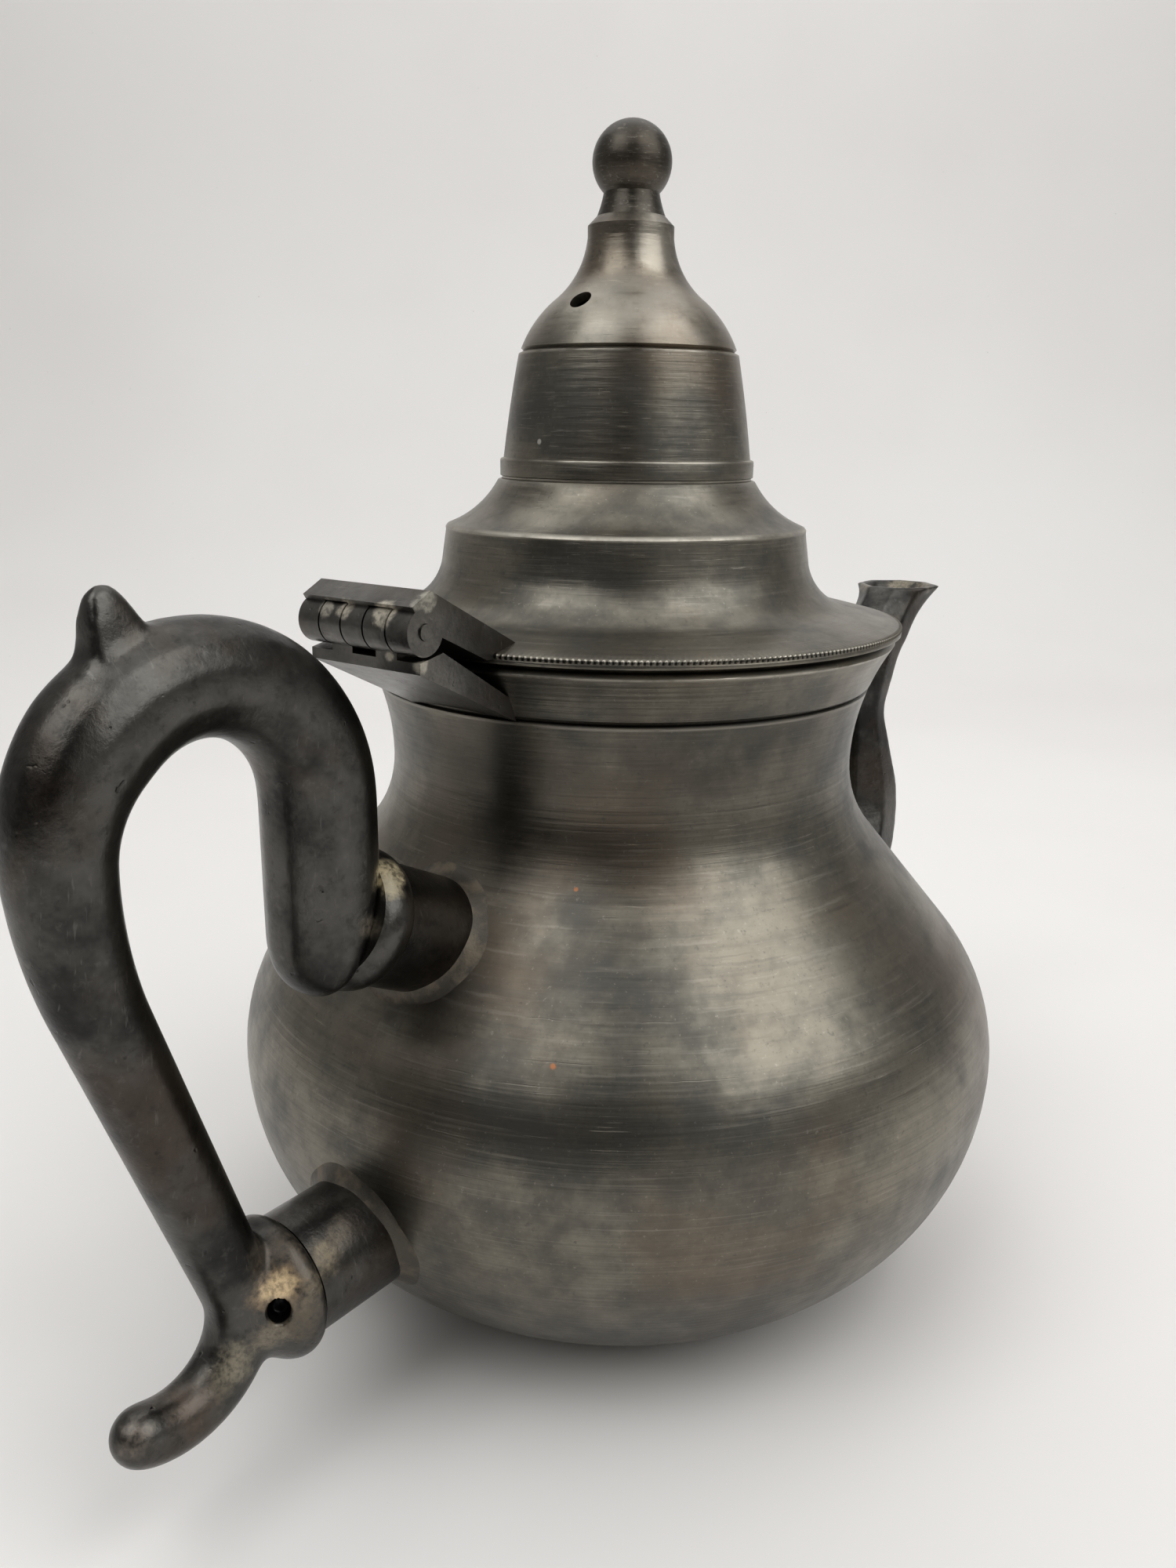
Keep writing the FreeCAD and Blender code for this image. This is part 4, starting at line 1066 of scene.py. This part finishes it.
@dataclass
class Studio:
    """Camera, lamps and backdrop of the photograph. Lengths are in metres if no unit is given.

    Args:
        lens: Focal length in millimetres on a 36 mm sensor.
        spot: Place of the camera in millimetres.
        heading: Bearing of the view from +X towards +Y.
        pitch: Degrees that the view looks down.
        roll: Degrees that the camera is turned about its view.
        paper: Colour of the paper that the pot stands on.
        shaded: Colour of its duller parts.
        dust: Colour of the specks on it.
        paper_run: Distance behind the pot at which the paper turns up.
        paper_turn: Radius of that turn.
        paper_reach: Half the length of the paper.
        aim_height: Height of the point that the lamps face.
        room: Brightness of the room all round.
        lamps: The lamps.
        board: Colour of the dark board.
        board_worn: Colour of its paler parts.
        board_bearing: Its bearing, told as that of a lamp.
        board_reach: Its distance from the pot.
        board_size: Its width and height.
    """

    lens: float = 29.16
    spot: Point = (-171.6, -124.7, 140.5)
    heading: float = 37.523
    pitch: float = 15.463
    roll: float = 0.686
    paper: Colour = (0.9, 0.885, 0.87)
    shaded: Colour = (0.85, 0.832, 0.815)
    dust: Colour = (0.2, 0.19, 0.18)
    paper_run: float = 0.5
    paper_turn: float = 0.35
    paper_reach: float = 3.0
    aim_height: float = 0.08
    room: Colour = (0.29, 0.287, 0.28)
    lamps: tuple[Lamp, ...] = (
        Lamp("left", -45.0, 52.0, 0.9, 0.55, 2.1), Lamp("right", 58.0, 48.0, 0.9, 0.72, 2.1),
        Lamp("top", 180.0, 80.0, 1.3, 1.7, 0.9), Lamp("paper", 180.0, 62.0, 0.9, 0.7, 0.35, 0.9))
    board: Colour = (0.02, 0.02, 0.02)
    board_worn: Colour = (0.03, 0.03, 0.03)
    board_bearing: float = -26.0
    board_reach: float = 1.1
    board_size: Spot = (1.9, 1.7)

    def build(self) -> None:
        """Set up the whole studio."""
        self.make_camera()
        self.make_paper()
        for lamp in self.lamps:
            self.hang(lamp)
        self.stand_board()
        world = bpy.data.worlds.new("room")
        world.use_nodes = True
        world.node_tree.nodes["Background"].inputs["Color"].default_value = (*self.room, 1.0)
        bpy.context.scene.world = world
        bpy.context.scene.view_settings.view_transform = "Standard"

    def toward(self, bearing: float, rise: float = 0.0) -> Vector:
        """Direction from the pot.

        Args:
            bearing: Degrees to the right of the line back to the camera.
            rise: Degrees above the table.

        Returns:
            Unit vector.
        """
        angle, lift = math.radians(self.heading + 180.0 + bearing), math.radians(rise)
        return Vector((math.cos(angle) * math.cos(lift), math.sin(angle) * math.cos(lift), math.sin(lift)))

    def make_camera(self) -> None:
        """Place the camera as the photograph has it."""
        data = bpy.data.cameras.new("camera")
        data.lens = self.lens
        data.clip_start = 0.001
        camera = bpy.data.objects.new("camera", data)
        turn = (Matrix.Rotation(math.radians(self.heading - 90), 4, "Z")
                @ Matrix.Rotation(math.radians(90 - self.pitch), 4, "X")
                @ Matrix.Rotation(math.radians(self.roll), 4, "Z"))
        camera.matrix_world = Matrix.Translation(Vector(self.spot) * MM) @ turn
        bpy.context.scene.collection.objects.link(camera)
        bpy.context.scene.camera = camera

    def make_paper(self) -> None:
        """Lay white paper that turns up behind the pot."""
        mesh = bmesh.new()
        bmesh.ops.create_grid(mesh, x_segments=160, y_segments=2, size=self.paper_reach)
        for vert in mesh.verts:
            past = vert.co.x - self.paper_run
            if past > 0.0:
                bend = min(past / self.paper_turn, math.pi / 2)
                rest = past - bend * self.paper_turn
                vert.co.x = self.paper_run + self.paper_turn * math.sin(bend)
                vert.co.z = self.paper_turn * (1.0 - math.cos(bend)) + rest
        bmesh.ops.rotate(mesh, cent=(0, 0, 0), verts=mesh.verts,
                         matrix=Matrix.Rotation(math.radians(self.heading), 3, "Z"))
        paper = keep(mesh, "paper")
        paper.data.shade_smooth()
        graph = Graph("paper")
        tone = graph.noise(3.0, 3.0, 0.5)
        colour = graph.mix(tone.step(0.35, 0.7), self.paper, self.shaded)
        specks = graph.noise(520.0, 2.0, 0.4).step(0.8, 0.83)
        colour = graph.mix(specks * 0.6, colour, self.dust)
        paper.data.materials.append(graph.finish(colour, tone * 0.05 + 0.7, 0.0))

    def hang(self, lamp: Lamp) -> None:
        """Hang a lamp.

        Args:
            lamp: The lamp.
        """
        data = bpy.data.lights.new(lamp.name, "AREA")
        data.size = lamp.size
        data.energy = lamp.glow * math.pi * lamp.size ** 2
        holder = bpy.data.objects.new(lamp.name, data)
        holder.location = self.toward(lamp.bearing, lamp.rise) * lamp.distance
        aim = self.toward(180.0) * lamp.aim + Vector((0.0, 0.0, self.aim_height))
        holder.rotation_euler = (aim - holder.location).to_track_quat("-Z", "Y").to_euler()
        bpy.context.scene.collection.objects.link(holder)

    def stand_board(self) -> None:
        """Stand a dark board that the pewter mirrors and the camera does not see."""
        mesh = bmesh.new()
        width, height = self.board_size
        angle = math.radians(self.heading + 180.0 + self.board_bearing)
        middle = self.toward(self.board_bearing) * self.board_reach + Vector((0.0, 0.0, height / 2))
        place = (Matrix.Translation(middle)
                 @ Matrix.Rotation(angle + math.pi / 2, 4, "Z") @ Matrix.Rotation(math.pi / 2, 4, "X")
                 @ Matrix.Diagonal((width, height, 1.0, 1.0)))
        bmesh.ops.create_grid(mesh, x_segments=1, y_segments=1, size=0.5, matrix=place)
        board = keep(mesh, "flag")
        board.visible_camera = False
        graph = Graph("flag")
        tone = graph.noise(4.0, 2.0, 0.5)
        colour = graph.mix(tone, self.board, self.board_worn)
        board.data.materials.append(graph.finish(colour, tone * 0.1 + 0.8, 0.0))


def dress_nodes(material: Material, *names: str) -> None:
    """Give CAD nodes that keep their form a better finish.

    Args:
        material: The finish.
        names: The nodes.
    """
    for name in names:
        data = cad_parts[name].data
        data.materials.clear()
        data.materials.append(material)


def ease_edges(name: str, width: float, angle: float = 35.0) -> None:
    """Round the sharp edges of a CAD node a little.

    Args:
        name: The node.
        width: Width of the rounding in millimetres.
        angle: Degrees from which an edge counts as sharp.
    """
    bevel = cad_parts[name].modifiers.new("ease", "BEVEL")
    bevel.width = width * MM
    bevel.segments = 2
    bevel.limit_method = "ANGLE"
    bevel.angle_limit = math.radians(angle)
    bevel.harden_normals = True


# Dry residue on the castings: at the upper joint, at the lower bead, on the tail and on the lower socket.
# The last one is painted shade in the drain hole.
RESIDUE_AND_HOLE_SHADE = (
    Patch((-60.9, -5.6, 83.9), 3.6, (0.5, 0.42, 0.26), 0.9, 0.7),
    Patch((-61.4, -7.5, 82.2), 2.4, (0.34, 0.29, 0.18), 0.7, 0.7),
    Patch((-65.5, -7.1, 77.8), 2.4, (0.24, 0.2, 0.14), 0.6, 0.8),
    Patch((-81.0, -6.0, 35.0), 6.5, (0.085, 0.066, 0.045), 0.9, 0.7),
    Patch((-82.0, -8.0, 28.5), 5.5, (0.12, 0.094, 0.06), 0.8, 0.7),
    Patch((-79.2, -9.1, 31.7), 3.6, (0.17, 0.14, 0.095), 0.6, 0.8),
    Patch((-82.9, -6.5, 31.8), 4.2, (0.24, 0.17, 0.1), 0.9, 0.6),
    Patch((-82.9, -6.6, 32.2), 2.7, (0.72, 0.55, 0.33), 1.0, 0.7),
    Patch((-84.2, -6.0, 25.2), 3.2, (0.24, 0.2, 0.14), 0.8, 0.8),
    Patch((-88.3, -3.6, 22.5), 3.6, (0.3, 0.265, 0.19), 0.75, 0.8),
    Patch((-90.4, -3.3, 20.6), 3.2, (0.17, 0.145, 0.1), 0.6, 0.8),
    Patch((-94.5, -2.7, 19.4), 5.4, (0.1, 0.068, 0.045), 0.55, 0.8),
    Patch((-102.3, -2.4, 20.2), 3.6, (0.2, 0.165, 0.13), 0.55, 0.8),
    Patch((-75.4, -6.6, 33.0), 3.4, (0.24, 0.195, 0.125), 0.75, 0.8),
    Patch((-71.7, -5.5, 34.3), 3.0, (0.15, 0.125, 0.09), 0.5, 0.8),
    Patch((-81.7, -5.0, 28.0), 2.7, (0.002, 0.002, 0.002), 1.0, 0.2, True),
)
# Metal rubbed bare on the knuckles and edges of the hinge.
RUBBED = (
    Patch((-59.4, -5.4, 117.8), 2.3, (0.55, 0.5, 0.4), 0.85),
    Patch((-59.4, 1.9, 117.9), 1.7, (0.5, 0.45, 0.36), 0.85),
    Patch((-59.5, 5.3, 117.8), 1.5, (0.5, 0.46, 0.38), 0.7),
    Patch((-57.8, -10.4, 111.7), 1.5, (0.45, 0.42, 0.34), 0.8),
    Patch((-58.1, -4.8, 112.2), 1.0, (0.6, 0.55, 0.45), 0.8),
    Patch((-56.2, -10.3, 119.8), 1.5, (0.42, 0.4, 0.33), 0.75),
    Patch((-58.5, -10.2, 119.6), 1.3, (0.42, 0.4, 0.33), 0.6),
)
# Pale residue round the mouth of the spout.
SPOUT_LIP = tuple(Patch(spot, 3.4, (0.34, 0.3, 0.22), 0.55) for spot in (
    (102.4, 4.1, 107.5), (108.0, -6.0, 107.6), (114.3, -4.2, 107.1), (115.0, 2.0, 106.6)))


def main() -> None:
    """Dress the pot and set up its studio."""
    logging.basicConfig(level=logging.INFO, format="%(message)s")
    skirt = LidSkirt()
    copper = (0.4, 0.17, 0.08)
    body = TurnedPewter("body_pewter", worn_and_sheen_bands=(Lip(108.5, 0.4, 0.9), Lip(100.75, 0.3, 0.3)),
                        # Painted shade in the gap under the lid's flange, and a dark line in the groove
                        # below it.
                        shade_and_grime_seams=(Lip(109.35, 0.55, 1.0), Lip(101.35, 0.3, 0.9)),
                        # Painted shade: a wide dark band round the neck, for the dark floor in front that it
                        # mirrors.
                        painted_dark_bands=(Lip(95.0, 17.0, 0.62),),
                        # Painted shade: a dark blot on the neck where it mirrors the handle and the dark
                        # room.
                        patches=(Patch((-38.2, -6.0, 87.7), 14.0, (0.03, 0.03, 0.027), 0.6, 0.9),
                                 Patch((-37.1, -19.5, 77.6), 0.45, copper, 0.8),
                                 Patch((-51.4, -27.0, 58.1), 0.7, copper, 0.9))).make()
    lid = TurnedPewter("lid_pewter", worn_and_sheen_bands=(Lip(125.9, 0.55, 0.95), Lip(136.4, 0.35, 0.8),
                                           Lip(133.5, 0.35, 0.6), Lip(152.3, 0.35, 0.8),
                                           # Painted highlight: a wide bright band on the lid's dome.
                                           Lip(158.5, 8.0, 0.42)),
                       patches=(Patch((-19.4, 2.2, 139.1), 0.5, (0.62, 0.6, 0.54), 0.9),
                                Patch((-2.2, -6.2, 168.5), 5.0, (0.42, 0.39, 0.33), 0.5)),
                       milling=Milling(skirt.teeth, reach=44.95, low=110.75, high=111.5), seed=3.0).make()
    # Painted shade: the knob's pewter is a darker copy of the lid's, for the dark surroundings that the ball
    # mirrors.
    shaded_knob = TurnedPewter("knob_pewter_shaded", worn_and_sheen_bands=(Lip(172.0, 0.5, 0.3),), bright=(0.1, 0.093, 0.079),
                        dark=(0.048, 0.046, 0.04), warm=(0.085, 0.067, 0.05), seed=5.0).make()
    cast = CastPewter("cast_pewter_looks", RESIDUE_AND_HOLE_SHADE).make()
    spout = CastPewter("spout_pewter", SPOUT_LIP, scuffs=0.2).make()
    leaf = CastPewter("leaf_pewter", RUBBED, bright=(0.16, 0.153, 0.14), dark=(0.075, 0.073, 0.068),
                      scuffs=0.5).make()
    solder = Solder("solder_looks").make()
    dress_nodes(body, "upper_body", "lower_bowl", "spout_strainer")
    dress_nodes(lid, "lid_bell", "lid_bezel")
    dress_nodes(shaded_knob, "finial")
    dress_nodes(spout, "spout")
    dress_nodes(cast, "upper_socket", "lower_socket", "upper_collar")
    dress_nodes(leaf, "body_hinge_leaf", "lid_hinge_leaf", "hinge_pin", "finial_washer", "finial_nut")
    for name in ("body_hinge_leaf", "lid_hinge_leaf"):
        ease_edges(name, width=0.22)
    soften(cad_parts["spout"], voxel=0.4, rounds=24)
    skirt.dress(lid)
    Handle().dress(cast)
    SolderRing("upper_solder", "upper_body", root=(48.57, 69.5), tilt=26.0).dress(solder)
    SolderRing("lower_solder", "lower_bowl", root=(63.31, 27.5), tilt=-1.0).dress(solder)
    Studio().build()


if __name__ == "__main__":
    main()
